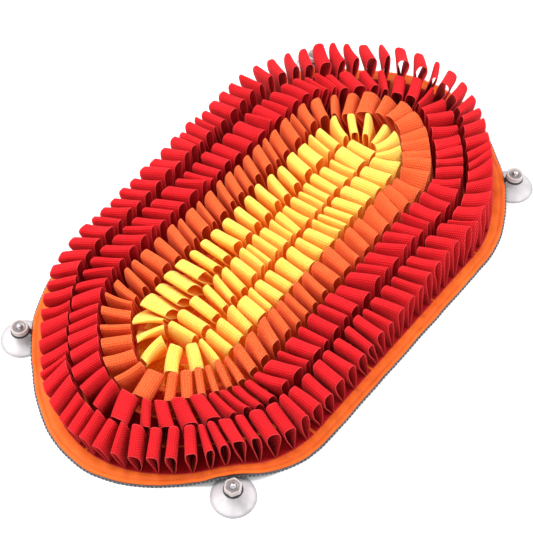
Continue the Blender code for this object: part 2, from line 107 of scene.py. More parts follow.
# Pleating of each ring, clockwise from above from its left tip, a row for each section:
# span in mm, loops, height, lean along the row, yaw of the crest, outward fall, tilt of the crest, fullness.
# Yaw is how far along the row the crest's outer edge stands ahead of its middle.
COLUMNS = ("span", "loops", "height", "lean", "yaw", "fall", "tilt", "full")
SECTIONS = {
    "outer": (
        (95, 7, 34, 2, -5.8, 6, 2.5, 0.92),
        (95, 6, 38, -4, -4.8, 0, 3.0, 0.95),
        (80, 6, 38, -3, -6.6, 2, 3.0, 0.90),
        (80, 6, 39, 0, -2.8, 7, 3.0, 1.00),
        (80, 6, 38, 2, 1.4, 9, 3.0, 0.98),
        (95, 7, 39, 1, -2.2, 12, 3.5, 0.72),
        (95, 6, 41, 3, -3.8, 14, 4.5, 0.70),
        (95, 6, 38, 2, -9.0, 4, 3.5, 0.95),
        (95, 6, 38, -4, -6.2, -4, 0.5, 1.00),
        (80, 6, 40, -6, -8.0, -9, 0.0, 0.85),
        (80, 6, 40, 2, -3.8, -5, 0.5, 0.80),
        (80, 5, 38, 7, 0.0, -4, 1.0, 0.95),
        (95, 7, 38, 9, -4.0, -5, 1.5, 1.00),
        (95, 7, 35, 6, -0.8, 2, 2.5, 0.85),
    ),
    "inner": (
        (72, 5, 37, 0, -1.2, 5, 1.0, 0.92),
        (72, 5, 39, -3, -6.0, 3, 1.0, 0.95),
        (80, 6, 39, -2, -9.2, 4, 0.5, 0.92),
        (80, 6, 39, 0, -5.4, 4, 0.5, 0.95),
        (80, 6, 39, 2, -3.2, 3, 0.5, 0.88),
        (72, 6, 39, 2, -6.0, 5, 1.0, 0.92),
        (72, 5, 39, 3, -4.4, 6, 2.0, 0.95),
        (72, 5, 38, 2, -1.0, 1, 1.5, 1.00),
        (72, 5, 40, -2, -2.6, -5, 0.5, 1.00),
        (80, 6, 40, -4, -4.8, -9, 0.0, 0.90),
        (80, 6, 40, 1, -6.0, -6, 0.0, 0.88),
        (80, 6, 40, 4, -2.4, -4, 0.0, 0.90),
        (72, 5, 38, 5, -8.0, -5, 0.5, 0.92),
        (72, 4, 37, 3, -5.6, 1, 1.0, 0.95),
    ),
    "orange": (
        (50, 3, 36, 1, 1.2, 4, 1.0, 1.00),
        (50, 4, 38, -2, 2.6, 3, 0.5, 0.88),
        (80, 6, 39, -1, 0.8, 3, 0.0, 0.88),
        (80, 6, 39, 0, 4.6, 2, 0.0, 0.85),
        (80, 6, 39, 1, 6.2, 3, 0.0, 0.82),
        (50, 3, 40, 2, 3.6, 2, 0.5, 0.95),
        (50, 2, 39, 4, 5.6, 0, 0.5, 1.00),
        (50, 3, 37, 3, -1.0, -2, 0.5, 1.00),
        (50, 3, 38, 0, -2.2, -6, 0.0, 1.00),
        (80, 7, 39, 0, 1.4, -7, 0.0, 0.85),
        (80, 6, 40, 2, 2.8, -4, 0.0, 0.85),
        (80, 6, 40, 3, 4.2, -4, 0.0, 0.85),
        (50, 4, 37, 3, -1.2, -2.5, 0.5, 0.85),
        (50, 3, 34, 2, 0.0, 0, 1.0, 1.00),
    ),
    "yellow": (
        (25, 1, 35, 0, -8.6, 4, 1.5, 1.00),
        (25, 1, 35, 0, -2.4, 0, 0.5, 1.00),
        (80, 6, 38, -1, -2.4, 3, 0.5, 0.90),
        (80, 6, 39, 0, 0.6, 3, 0.5, 0.88),
        (80, 6, 40, 1, 3.6, 3, 0.5, 0.85),
        (50, 3, 40, 3, 1.2, 1, 0.5, 0.90),
        (17, 1, 36, 3, -4.2, -2, 0.5, 1.00),
        (33, 2, 36, 3, -5.6, -5, 0.5, 1.00),
        (80, 7, 37, 1, -4.8, -5, 0.0, 0.92),
        (80, 6, 36, 1, -0.4, -2, 0.0, 0.88),
        (80, 6, 35, 2, 1.2, -1, 0.0, 0.90),
        (33, 2, 33, 1, 1.2, -2.5, 1.0, 1.00),
        (17, 1, 33, 1, -5.8, 1, 1.0, 1.00),
    ),
    "centre": (
        (40, 2, 36, -5, -0.2, 0, 0.0, 1.00),
        (68, 6, 36, 0, 2.4, 1, 0.0, 0.80),
        (70, 6, 36, 1, -0.4, 2, 0.0, 0.88),
        (68, 6, 37, 1, -2.4, 3, 0.0, 0.85),
        (35, 2, 38, 5, -2.8, 3, 0.0, 1.00),
    ),
}
LENGTHS = {
    "outer": (
        ("red_outer_left_tip", 0), ("red_outer_far_corner_a", 6), ("red_outer_far_a", 14),
        ("red_outer_far_b", 19), ("red_outer_far_c", 27), ("red_outer_far_corner_b", 32),
        ("red_outer_right_tip", 41), ("red_outer_near_corner_a", 47), ("red_outer_near_a", 56),
        ("red_outer_near_b", 61), ("red_outer_near_c", 68), ("red_outer_near_corner_b", 73),
    ),
    "inner": (
        ("red_inner_left_far", 0), ("red_inner_far", 13), ("red_inner_right_far", 26),
        ("red_inner_right_near", 38), ("red_inner_near", 52), ("red_inner_left_near", 64),
    ),
    "orange": (
        ("orange_left_far", 0), ("orange_far", 10), ("orange_right", 23),
        ("orange_near", 36), ("orange_left_near", 50),
    ),
    "yellow": (("yellow_far", 0), ("yellow_right", 18), ("yellow_near", 30), ("yellow_left", 42)),
    "centre": (("yellow_centre", 0),),
}

# How a wall's lean, its yaw and a loop's fall wander from one to the next: the share that carries over and
# the most that is added, in mm.
LEAN_WANDER = (0.55, 4.2)
YAW_WANDER = (0.45, 2.4)
FALL_WANDER = (0.3, 0.5)
PITCH_SPREAD = (0.80, 1.20)
HEIGHT_SPREAD = 2.6
FULL_SPREAD = (0.86, 1.0)
FOOT_SPREAD = 1.0
SETTLE_ROUNDS = 6
# Share of the ribbon's thickness that its middle surface keeps from a wall.
WALL_KEEP = 0.62

# Fine shape of the ribbon.
RIBBON_EDGE = 0.3
SEWN_PINCH = 1.1
WALL_SHARES = (0.0, 0.05, 0.16, 0.32, 0.50, 0.70, 0.88)
CREST_STEPS = 15
VALLEY_SHARES = (0.12, 0.5, 0.88)
ACROSS_STEPS = 8
# How long a loop's legs stay close together, and how much longer where it falls outward by SLIM_FALLS.
LEG_CURVE = 1.15
SLIM_CURVE = 3.4
SLIM_FALLS = (7.0, 12.0)
DENT_REACH = 0.22
# A loop's middle goes from its foot to its cell's middle up to this share of its height.
FOOT_SETTLES = 0.5
# How far each edge of the ribbon is drawn in where it is sewn down.
FOOT_DRAWN_IN = 0.5
FALL_CURVE = 1.2
WAVE_TURNS = 5.0
# Thickness of the ribbon's two edges as a share of its thickness.
EDGE_SHARE = 0.78
# What each loop's own shape is drawn from, in this order. The belly is the share of its height up to its
# widest point, and a lower round is a squarer crest. Dents take from the width of a leg.
CHARACTER = {
    "belly": (0.72, 0.86),
    "round": (0.62, 0.86),
    "first_dent": (-0.25, 0.30),
    "second_dent": (-0.25, 0.30),
    "dent_level": (0.3, 0.6),
    "sag": (-1.5, 0.9),
    "skew": (-0.2, 0.2),
    "roll": (-1.4, 1.4),
    "wave": (-0.8, 0.8),
    "wave_turn": (0.0, math.tau),
}

# The middle of the loops, which the camera and the lights look at.
LOOK_AT = Vector((-23.3, -6.0, 20.0)) * MM


# ---- Settings that a user would change ----------------------------------------------------------------


def colour(name, description, default):
    return bpy.props.FloatVectorProperty(
        name=name, description=description, default=default, subtype="COLOR", size=3, min=0.0, max=1.0
    )


def length(name, description, default):
    """A size in metres, given here in millimetres."""
    return bpy.props.FloatProperty(
        name=name, description=description, default=default * MM, min=0.0, unit="LENGTH", precision=4
    )


def number(name, description, default):
    return bpy.props.FloatProperty(name=name, description=description, default=default)


class SnuffleMatColours(bpy.types.PropertyGroup):
    red: colour("Red ribbon", "Lit colour of the two outer rings", (0.87, 0.017, 0.025))
    orange: colour("Orange ribbon", "Lit colour of the middle ring", (0.86, 0.165, 0.046))
    yellow: colour("Yellow ribbon", "Lit colour of the two inner rows", (0.98, 0.71, 0.155))
    cloth: colour("Base cloth", "Colour of the orange border", (0.86, 0.128, 0.015))
    backing: colour("Mesh backing", "Colour of the backing's yarn", (0.20, 0.22, 0.25))
    dots: colour("Grip dots", "Colour of the dots on the backing", (0.012, 0.012, 0.014))
    plastic: colour("Cups", "Tint of the clear plastic", (0.72, 0.68, 0.70))
    nut: colour("Nuts", "Tint of the clamping nuts", (0.70, 0.62, 0.60))
    steel: colour("Screws", "Colour of the screws", (0.62, 0.62, 0.63))
    elastic: colour("Straps", "Colour of the elastic straps", (0.010, 0.010, 0.012))


class SnuffleMatSizes(bpy.types.PropertyGroup):
    ribbon_thick: length("Ribbon thickness", "Thickness of the ribbon", 0.9)
    red_weave: length("Red weave", "Distance between the raised dots of the red ribbon's weave", 2.1)
    soft_weave: length("Soft weave", "The same for the orange and yellow ribbons", 2.3)
    stitch: length("Stitch", "Distance from one stitch of the border's seam to the next", 3.3)
    seam_inset: length("Seam inset", "How far in from the cloth's edge the seam runs", 4.6)
    thread: length("Thread", "Thickness of the sewing thread", 0.5)
    dot_pitch: length("Dot pitch", "Distance between grip dots", 5.5)
    dot_radius: length("Dot radius", "Radius of a grip dot", 0.9)


class SnuffleMatStage(bpy.types.PropertyGroup):
    azimuth: number("Azimuth", "Camera direction round the mat, in degrees", -50.6)
    elevation: number("Elevation", "Camera height above the floor, in degrees", 55.6)
    distance: length("Distance", "From the camera to the middle of the loops", 1237.2)
    lens: number("Lens", "Focal length in mm on a 36 mm sensor", 90.45)
    key_power: number("Key light", "Power of the key light, in watts", 27.0)
    sky: number("Sky", "Strength of the even white light", 0.84)


# ---- Shader maths --------------------------------------------------------------------------------------


class Value:
    """A shader socket holding a number. Python's operators on it add Math nodes."""

    def __init__(self, shader, socket):
        self.shader = shader
        self.socket = socket

    def math(self, operation, *others):
        inputs = dict(enumerate((self, *others)))
        made = self.shader.node("ShaderNodeMath", {"operation": operation}, inputs)
        return Value(self.shader, made.outputs[0])

    def __add__(self, other):
        return self.math("ADD", other)

    __radd__ = __add__

    def __sub__(self, other):
        return self.math("SUBTRACT", other)

    def __rsub__(self, other):
        return self.math("MULTIPLY", -1.0).math("ADD", other)

    def __mul__(self, other):
        return self.math("MULTIPLY", other)

    __rmul__ = __mul__

    def __truediv__(self, other):
        return self.math("DIVIDE", other)

    def __pow__(self, other):
        return self.math("POWER", other)

    def __mod__(self, other):
        return self.math("FLOORED_MODULO", other)

    def floor(self):
        return self.math("FLOOR")

    def fraction(self):
        return self.math("FRACT")

    def sine(self):
        return self.math("SINE")

    def absolute(self):
        return self.math("ABSOLUTE")


class Shader:
    """A material's node tree, with one method that adds any node."""

    def __init__(self, name):
        self.material = bpy.data.materials.new(name)
        self.material.use_nodes = True
        self.tree = self.material.node_tree
        self.surface = self.tree.nodes["Principled BSDF"]

    def node(self, kind, settings=None, inputs=None):
        """Add a node of a kind, set its settings and then its sockets' values or links."""
        made = self.tree.nodes.new(kind)
        for name, setting in (settings or {}).items():
            setattr(made, name, setting)
        for name, value in (inputs or {}).items():
            self.feed(made.inputs[name], value)
        return made

    def feed(self, socket, value):
        if isinstance(value, Value):
            value = value.socket
        if isinstance(value, bpy.types.NodeSocket):
            self.tree.links.new(value, socket)
        else:
            socket.default_value = value

    def between(self, value, low, high):
        """The value's place between low and high, from 0 to 1."""
        inputs = {"Value": value, "From Min": low, "From Max": high}
        return Value(self, self.node("ShaderNodeMapRange", {"clamp": True}, inputs).outputs["Result"])

    def mix(self, share, first, second):
        """A mix of two colours."""
        inputs = {0: share, 6: first, 7: second}
        return self.node("ShaderNodeMix", {"data_type": "RGBA", "clamp_factor": True}, inputs).outputs[2]

    def axis(self, vector, index):
        """One of a vector's three numbers."""
        return Value(self, self.node("ShaderNodeSeparateXYZ", None, {0: vector}).outputs[index])

    def uv_map(self):
        return self.node("ShaderNodeUVMap", {"uv_map": UV_NAME}).outputs[0]

    def map_axes(self):
        """The two axes of the UV map, in metres."""
        return self.axis(self.uv_map(), 0), self.axis(self.uv_map(), 1)

    def place(self):
        """The point on the surface, in the mat's own frame."""
        return self.node("ShaderNodeTexCoord").outputs["Object"]

    def height(self):
        """Height above the floor, in metres."""
        return self.axis(self.place(), 2)

    def upward(self):
        """How much the surface faces up, from -1 to 1."""
        return self.axis(self.node("ShaderNodeNewGeometry").outputs["Normal"], 2)

    def slant(self, blend):
        """How much the surface turns away from the eye, from 0 to 1."""
        return Value(self, self.node("ShaderNodeLayerWeight", None, {"Blend": blend}).outputs["Facing"])

    def cloudy(self, size, detail=2.0, vector=None):
        """Soft noise, from 0 to 1, whose patches are about one size across, in metres."""
        inputs = {"Vector": vector or self.place(), "Scale": 1.0 / size, "Detail": detail}
        return Value(self, self.node("ShaderNodeTexNoise", None, inputs).outputs["Fac"])

    def bump(self, height, distance, strength, normal=None):
        """A normal for relief of a distance in metres, over another normal if there is one."""
        inputs = {"Height": height, "Distance": distance, "Strength": strength}
        if normal is not None:
            inputs["Normal"] = normal
        return self.node("ShaderNodeBump", None, inputs).outputs["Normal"]

    def wear(self, **inputs):
        """Feed the surface shader's sockets, named with spaces as underscores."""
        for name, value in inputs.items():
            self.feed(self.surface.inputs[name.replace("_", " ")], value)
        return self.material


def solid(rgb, share=1.0):
    return (rgb[0] * share, rgb[1] * share, rgb[2] * share, 1.0)


def tinted(rgb, toward, share):
    """A colour part of the way toward another."""
    return tuple(here + (there - here) * share for here, there in zip(rgb, toward)) + (1.0,)


# ---- Lines in plan -------------------------------------------------------------------------------------


def smooth_step(low, high, value):
    share = min(1.0, max(0.0, (value - low) / (high - low)))
    return share * share * (3.0 - 2.0 * share)


def oval_line(half_straight, radius, flatness):
    """Closed line clockwise from the left tip: straight sides and ends whose corners are drawn in."""
    if radius == 0.0:
        return [(-half_straight, 0.0), (half_straight, 0.0)]
    points = []
    for degree in range(180, -180, -2):
        angle = math.radians(degree)
        side = "far" if degree > 0 else "near"
        end = "left" if abs(degree) > 90 else "right"
        drawn_in = flatness[f"{end}_{side}"] if isinstance(flatness, dict) else flatness
        reach = radius * (1.0 - drawn_in * math.sin(2.0 * angle) ** 2)
        centre = -half_straight if end == "left" else half_straight
        if degree == 90:
            points.append((-half_straight, reach))
        points.append((centre + reach * math.cos(angle), reach * math.sin(angle)))
        if degree == -90:
            points.append((-half_straight, -reach))
    points.append(points[0])
    return points


class Line:
    """A line in plan that can be asked for its point, direction and outward side at any distance."""

    def __init__(self, points):
        self.points = [Vector(point) for point in points]
        self.closed = (self.points[0] - self.points[-1]).length < 1e-9
        self.marks = [0.0]
        for here, ahead in zip(self.points, self.points[1:]):
            self.marks.append(self.marks[-1] + (ahead - here).length)
        self.length = self.marks[-1]

    def place(self, distance):
        if self.closed:
            distance %= self.length
        index = min(max(bisect.bisect_right(self.marks, distance) - 1, 0), len(self.points) - 2)
        start, end = self.points[index], self.points[index + 1]
        share = (distance - self.marks[index]) / (self.marks[index + 1] - self.marks[index])
        return start.lerp(end, share)

    def frame(self, distance, reach=4.0):
        along = (self.place(distance + reach) - self.place(distance - reach)).normalized()
        return self.place(distance), along, Vector((-along.y, along.x))

    def bend(self, distance, reach=8.0):
        """Curvature, in 1/mm, where the line turns round the mat's middle."""
        before = self.frame(distance - reach)[1]
        after = self.frame(distance + reach)[1]
        return max(0.0, before.angle_signed(after)) / (2.0 * reach)

    def nearest(self, x, y):
        steps = [self.length * step / 720 for step in range(720)]
        return min(steps, key=lambda distance: (self.place(distance) - Vector((x, y))).length)


BASE_LINE = Line(oval_line(STRAIGHT_HALF, BASE_RADIUS, CORNER_FLATNESS))


def strap_roots():
    """For each cup: its centre, the point of the mat's edge next to it and the direction inward."""
    roots = {}
    for name, (x, y) in CUP_PLACES.items():
        edge = BASE_LINE.place(BASE_LINE.nearest(x, y))
        roots[name] = (Vector((x, y)), edge, (edge - Vector((x, y))).normalized())
    return roots


STRAP_ROOTS = strap_roots()


def cup_distance(x, y):
    return min((centre - Vector((x, y))).length for centre, _, _ in STRAP_ROOTS.values())


def edge_lift(x, y):
    """Height of the backing's underside over the floor: nothing but near a cup."""
    return RIM_LIFT * (1.0 - smooth_step(LIFT_NEAR, LIFT_FAR, cup_distance(x, y)))


def cloth_lift(x, y):
    """Height of the base cloth's underside over the floor, with room for the strap ends."""
    here = Vector((x, y))
    middles = [edge + inward * STRAP_ROOT * 0.5 for _, edge, inward in STRAP_ROOTS.values()]
    strap = min((middle - here).length for middle in middles)
    room = STRAP_BUMP * (1.0 - smooth_step(BUMP_NEAR, BUMP_FAR, strap))
    return edge_lift(x, y) + BACKING_THICK + GAP + room


def ribbon_foot(x, y):
    """Height of the middle of a ribbon that lies on the base cloth."""
    return cloth_lift(x, y) + CLOTH_THICK + GAP + SOLID_RIBBON_THICK * 0.5


# ---- Mesh making ---------------------------------------------------------------------------------------


def ring_faces(rows, columns, round_again=False):
    """Quads of a skin of closed rings, one for each row. It meets itself again or has a cap at both ends."""
    faces = []
    for row in range(rows if round_again else rows - 1):
        here, ahead = row * columns, (row + 1) % rows * columns
        for column in range(columns):
            beside = (column + 1) % columns
            faces.append((here + column, here + beside, ahead + beside, ahead + column))
    if not round_again:
        faces.append(tuple(reversed(range(columns))))
        faces.append(tuple(range((rows - 1) * columns, rows * columns)))
    return faces


SHARP_ANGLE = math.radians(60.0)
# How much further out a nut's flats stand than a sharp one's, so that its corners are rounded off.
FLAT_REACH = 1.06


def make_piece(name, points, faces, material, slot, replaced=(), uv=None):
    """A smooth-shaded mesh from points in mm that rides on the mat and stands for the named nodes."""
    data = bpy.data.meshes.new(name)
    data.from_pydata([tuple(float(axis) * MM for axis in point) for point in points], [], faces)
    data.materials.append(material)
    shell = bmesh.new()
    shell.from_mesh(data)
    bmesh.ops.recalc_face_normals(shell, faces=shell.faces)
    shell.to_mesh(data)
    shell.free()
    if uv is not None:
        layer = data.uv_layers.new(name=UV_NAME)
        corners = np.empty(len(data.loops), dtype=np.int64)
        data.loops.foreach_get("vertex_index", corners)
        layer.data.foreach_set("uv", (np.asarray(uv)[corners] * MM).astype(np.float32).ravel())
    data.shade_smooth()
    data.set_sharp_from_angle(angle=SHARP_ANGLE)
    data.validate()
    made = bpy.data.objects.new(name, data)
    bpy.context.scene.collection.objects.link(made)
    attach(made, BODY)
    if replaced:
        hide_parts(*replaced)
    return made


def turned(profile, steps, centre, flats=0):
    """Points and faces of a closed profile turned round an upright axis. flats gives it flat sides."""
    points = []
    for step in range(steps):
        angle = math.tau * step / steps
        squash = 1.0
        if flats:
            off = (angle + math.pi / flats) % (math.tau / flats) - math.pi / flats
            squash = min(1.0, math.cos(math.pi / flats) * FLAT_REACH / math.cos(off))
        for radius, height in profile:
            reach = radius * squash
            points.append((centre[0] + reach * math.cos(angle), centre[1] + reach * math.sin(angle), height))
    return points, ring_faces(steps, len(profile), True)


class Skin:
    """Points and faces of many small closed shapes, gathered into one mesh."""

    def __init__(self):
        self.points = []
        self.faces = []

    def add(self, points, faces):
        first = len(self.points)
        self.points += [tuple(point) for point in points]
        self.faces += [tuple(first + corner for corner in face) for face in faces]

    def add_tube(self, path, radii, sides):
        """A round tube through a path of points, with a radius for each, closed at both ends."""
        points = []
        for index, here in enumerate(path):
            ahead = path[min(index + 1, len(path) - 1)]
            behind = path[max(index - 1, 0)]
            along = (ahead - behind).normalized()
            sideways = along.cross(Vector((0.0, 0.0, 1.0)))
            if sideways.length < 1e-4:
                sideways = Vector((1.0, 0.0, 0.0))
            sideways.normalize()
            upward = sideways.cross(along)
            for side in range(sides):
                angle = -math.tau * side / sides
                points.append(here + (sideways * math.cos(angle) + upward * math.sin(angle)) * radii[index])
        self.add(points, ring_faces(len(path), sides))


# ---- Pleats --------------------------------------------------------------------------------------------


def section_loops(ring, draw):
    """The loops of a ring's sections, with a height, lean and so on that run smoothly between sections."""
    sections = [dict(zip(COLUMNS, row)) for row in SECTIONS[ring]]
    closed = RINGS[ring]["radius"] > 0.0
    loops = []
    for index, section in enumerate(sections):
        at_end = not closed and index == len(sections) - 1
        before = sections[index - 1] if index or closed else section
        ahead = section if at_end else sections[(index + 1) % len(sections)]
        shares = [draw.uniform(*PITCH_SPREAD) for _ in range(section["loops"])]
        passed = 0.0
        for share in shares:
            loop = dict(section, pitch=section["span"] * share / sum(shares))
            offset = (passed + share * 0.5) / sum(shares) - 0.5
            passed += share
            toward = ahead if offset > 0.0 else before
            for key in ("height", "lean", "yaw", "fall", "tilt"):
                loop[key] += (toward[key] - section[key]) * abs(offset)
            loops.append(loop)
    return loops


def wander(value, habit, draw):
    """The next value of a random walk that keeps a share of the last one."""
    kept, most = habit
    return kept * value + draw.uniform(-most, most)


def pleat_plan(ring):
    """Each loop of a ring as a dictionary, with the two walls of the cell that it stays between."""
    size = RINGS[ring]
    draw = random.Random(size["seed"])
    line = Line(oval_line(size["half_straight"], size["radius"], size["flatness"]))
    loops = section_loops(ring, draw)
    scale = line.length / sum(loop["pitch"] for loop in loops)
    total = len(loops)
    lean_noise = yaw_noise = fall_noise = 0.0
    at = 0.0
    for index, loop in enumerate(loops):
        ahead = loops[(index + 1) % total]
        loop["pitch"] *= scale
        loop["start"] = at
        at += loop["pitch"]
        fade = 0.0 if index == total - 1 else 1.0
        lean_noise = fade * wander(lean_noise, LEAN_WANDER, draw)
        yaw_noise = fade * wander(yaw_noise, YAW_WANDER, draw)
        fall_noise = fade * wander(fall_noise, FALL_WANDER, draw)
        loop["wall_lean"] = 0.5 * (loop["lean"] + ahead["lean"]) + lean_noise
        loop["wall_yaw"] = 0.5 * (loop["yaw"] + ahead["yaw"]) + yaw_noise
        loop["fall"] += fall_noise
        loop["height"] += draw.uniform(-HEIGHT_SPREAD, HEIGHT_SPREAD)
        loop["full"] *= draw.uniform(*FULL_SPREAD)
        loop["foot"] = draw.uniform(-FOOT_SPREAD, FOOT_SPREAD)
    settle_walls(loops, line)
    for index, loop in enumerate(loops):
        loop["before"] = wall_before(loops, index, line)
    return line, loops


def wall_before(loops, index, line):
    """The loop whose far wall a loop starts at, or an upright wall at the start of an open row."""
    at_start = index == 0 and not line.closed
    return {"wall_lean": 0.0, "wall_yaw": 0.0} if at_start else loops[index - 1]


def settle_walls(loops, line):
    """Bring walls that came too close, or too far apart, back to a width a loop can have."""
    last = len(loops) - 1 if line.closed else len(loops)
    for _ in range(SETTLE_ROUNDS):
        for index in range(last):
            loop, before = loops[index], wall_before(loops, index, line)
            bend = line.bend(loop["start"] + loop["pitch"] * 0.5)
            turn = crest_turn(0.5 * (loop["wall_yaw"] + before["wall_yaw"]))
            for side in (-1.0 / turn, 1.0 / turn):
                stretch = 1.0 + side * RIBBON_WIDTH * 0.5 * bend
                width = loop["pitch"] + loop["wall_lean"] - before["wall_lean"]
                width += side * (loop["wall_yaw"] - before["wall_yaw"])
                short = MIN_CELL * turn / stretch - width
                wide = width - MAX_CELL * turn / stretch
                if short > 0.0:
                    loop["wall_lean"] += short * 0.5
                    loop["wall_yaw"] += side * short * 0.5
                if wide > 0.0:
                    loop["wall_lean"] -= wide
        if line.closed:
            loops[-1]["wall_lean"] = loops[-1]["lean"]
            loops[-1]["wall_yaw"] = loops[-1]["yaw"]


def crest_turn(yaw):
    """Length of a turned crest over its reach across the row."""
    return math.hypot(1.0, yaw / (RIBBON_WIDTH * 0.5))


def wall_distance(loop, height, side, ahead):
    """Where the wall before or after a loop stands at a height, at the edge that side gives (-1 to 1)."""
    wall = loop if ahead else loop["before"]
    at = loop["start"] + (loop["pitch"] if ahead else 0.0)
    return at + (wall["wall_lean"] + wall["wall_yaw"] * side) * height / LEAN_HEIGHT


def cell_room(loop, height, side):
    """A loop's room at a height along a line of its crest: its middle, half width and the line's reach.

    A turned crest reaches less far across the row. On a bend the room is wider at its outer edge, but the
    ribbon keeps nearly the width of its narrower edge.
    """
    half = RIBBON_WIDTH * 0.5
    turn = crest_turn(0.5 * (loop["wall_yaw"] + loop["before"]["wall_yaw"]) * height / LEAN_HEIGHT)
    inset = (SOLID_RIBBON_THICK * WALL_KEEP + LOOP_GAP * 0.5) * turn
    widths = []
    for reach in (-1.0 / turn, 1.0 / turn, side / turn):
        low = wall_distance(loop, height, reach, False)
        high = wall_distance(loop, height, reach, True)
        stretch = 1.0 + reach * half * loop["bend"]
        widths.append((high - low) * 0.5 * stretch - inset)
    own = widths[2]
    own -= max(0.0, own - min(widths)) * EVEN_WIDTH
    return (low + high) * 0.5, own / stretch, reach


def give_character(loops, line, seed):
    """Draw what makes each loop a little different from its neighbours."""
    draw = random.Random(seed + 1000)
    for loop in loops:
        loop["bend"] = line.bend(loop["start"] + loop["pitch"] * 0.5)
        loop["slim"] = smooth_step(*SLIM_FALLS, loop["fall"])
        for trait, span in CHARACTER.items():
            loop[trait] = draw.uniform(*span)


def loop_profile(loop):
    """The loop seen along its tunnel, foot to foot: shares of its height, half width and foot pinch."""
    belly = loop["belly"]
    walls = []
    for wall, dent in ((-1.0, loop["first_dent"]), (1.0, loop["second_dent"])):
        rows = []
        for share in WALL_SHARES:
            reach = math.sin(share * math.pi * 0.5) ** (LEG_CURVE + SLIM_CURVE * loop["slim"])
            from_dent = (share - loop["dent_level"]) / DENT_REACH
            reach *= 1.0 - max(0.0, dent) * math.exp(-(from_dent ** 2))
            rows.append((belly * share, wall * reach, wall * (1.0 - reach)))
        walls.append(rows)
    crest = []
    for step in range(CREST_STEPS):
        angle = math.pi * step / (CREST_STEPS - 1)
        across = -math.copysign(abs(math.cos(angle)) ** loop["round"], math.cos(angle))
        across += loop["skew"] * (1.0 - abs(across)) ** 0.8 * math.sin(angle)
        crest.append((belly + (1.0 - belly) * abs(math.sin(angle)) ** loop["round"], across, 0.0))
    return walls[0] + crest + walls[1][::-1]


def ribbon_point(loop, line, shares, side):
    """A point of the ribbon's middle surface on a loop, where side runs from -1 to 1 across the ribbon."""
    level, across, pinched = shares
    half = RIBBON_WIDTH * 0.5
    pinch = SEWN_PINCH * 0.5 / (1.0 + side * half * loop["bend"])
    rise = loop["height"] - (loop["tilt"] + loop["roll"]) * side + loop["sag"] * (1.0 - side * side)
    height = rise * level
    middle, room, reach = cell_room(loop, height, side)
    root = loop["start"] + loop["pitch"] * 0.5 + loop["foot"]
    centre = root + (middle - root) * min(1.0, level / FOOT_SETTLES)
    width = max(room * loop["full"], pinch)
    point, _, outward = line.frame(centre + across * width + pinched * pinch)
    ripple = loop["wave"] * math.sin(loop["wave_turn"] + level * WAVE_TURNS) * level
    drawn_in = side * FOOT_DRAWN_IN * (1.0 - level)
    out = reach * half - drawn_in + loop["fall"] * level ** FALL_CURVE + ripple
    place = point + outward * out
    ground = point + outward * (side * half)
    return Vector((place.x, place.y, ribbon_foot(ground.x, ground.y) + height))


def valley_point(line, distance, side):
    """A point of the ribbon where it lies on the base between two loops."""
    point, _, outward = line.frame(distance)
    place = point + outward * (side * (RIBBON_WIDTH * 0.5 - FOOT_DRAWN_IN))
    return Vector((place.x, place.y, ribbon_foot(place.x, place.y)))


def foot_distance(loop, side, wall):
    """Where a foot of the loop stands along the ring: the first one for wall -1, the second one for 1."""
    stretch = 1.0 + side * RIBBON_WIDTH * 0.5 * loop["bend"]
    return loop["start"] + loop["pitch"] * 0.5 + loop["foot"] + wall * SEWN_PINCH * 0.5 / stretch


def ribbon_rows(loops, line):
    """The ribbon's middle surface as rows of points, one row after another along its length."""
    sides = [-1.0 + 2.0 * step / ACROSS_STEPS for step in range(ACROSS_STEPS + 1)]
    rows = []
    for index in range(len(loops) + 1):
        for share in VALLEY_SHARES:
            row = []
            for side in sides:
                if index == 0:
                    start = loops[0]["start"] + LOOP_GAP
                else:
                    start = foot_distance(loops[index - 1], side, 1.0)
                if index == len(loops):
                    end = loops[-1]["start"] + loops[-1]["pitch"] - LOOP_GAP
                else:
                    end = foot_distance(loops[index], side, -1.0)
                row.append(valley_point(line, start + (end - start) * share, side))
            rows.append(row)
        if index < len(loops):
            loop = loops[index]
            for shares in loop_profile(loop):
                rows.append([ribbon_point(loop, line, shares, side) for side in sides])
    return np.array(rows, dtype=float)


def thicken(rows, thick):
    """Closed rings round a strip: its top, its underside and a point on each rounded edge."""
    along = np.gradient(rows, axis=0)
    across = np.gradient(rows, axis=1)
    normal = np.cross(along, across)
    normal /= np.linalg.norm(normal, axis=2, keepdims=True) + 1e-9
    side = across / (np.linalg.norm(across, axis=2, keepdims=True) + 1e-9)
    share = np.ones(rows.shape[1])
    share[[0, -1]] = EDGE_SHARE
    push = normal * (thick * 0.5) * share[None, :, None]
    top, under = rows + push, rows - push
    outer = rows[:, -1:] + side[:, -1:] * RIBBON_EDGE
    inner = rows[:, :1] - side[:, :1] * RIBBON_EDGE
    rings = np.concatenate([top, outer, under[:, ::-1], inner], axis=1)
    steps = np.linalg.norm(np.diff(rows.mean(axis=1), axis=0), axis=1)
    distance = np.concatenate([[0.0], np.cumsum(steps)])
    half = RIBBON_WIDTH * 0.5
    crosswise = np.linspace(-half, half, rows.shape[1])
    places = np.concatenate([crosswise, [half + RIBBON_EDGE], crosswise[::-1], [-half - RIBBON_EDGE]])
    uv = np.stack(np.broadcast_arrays(distance[:, None], places[None, :]), axis=2)
    return rings, uv, distance[-1]


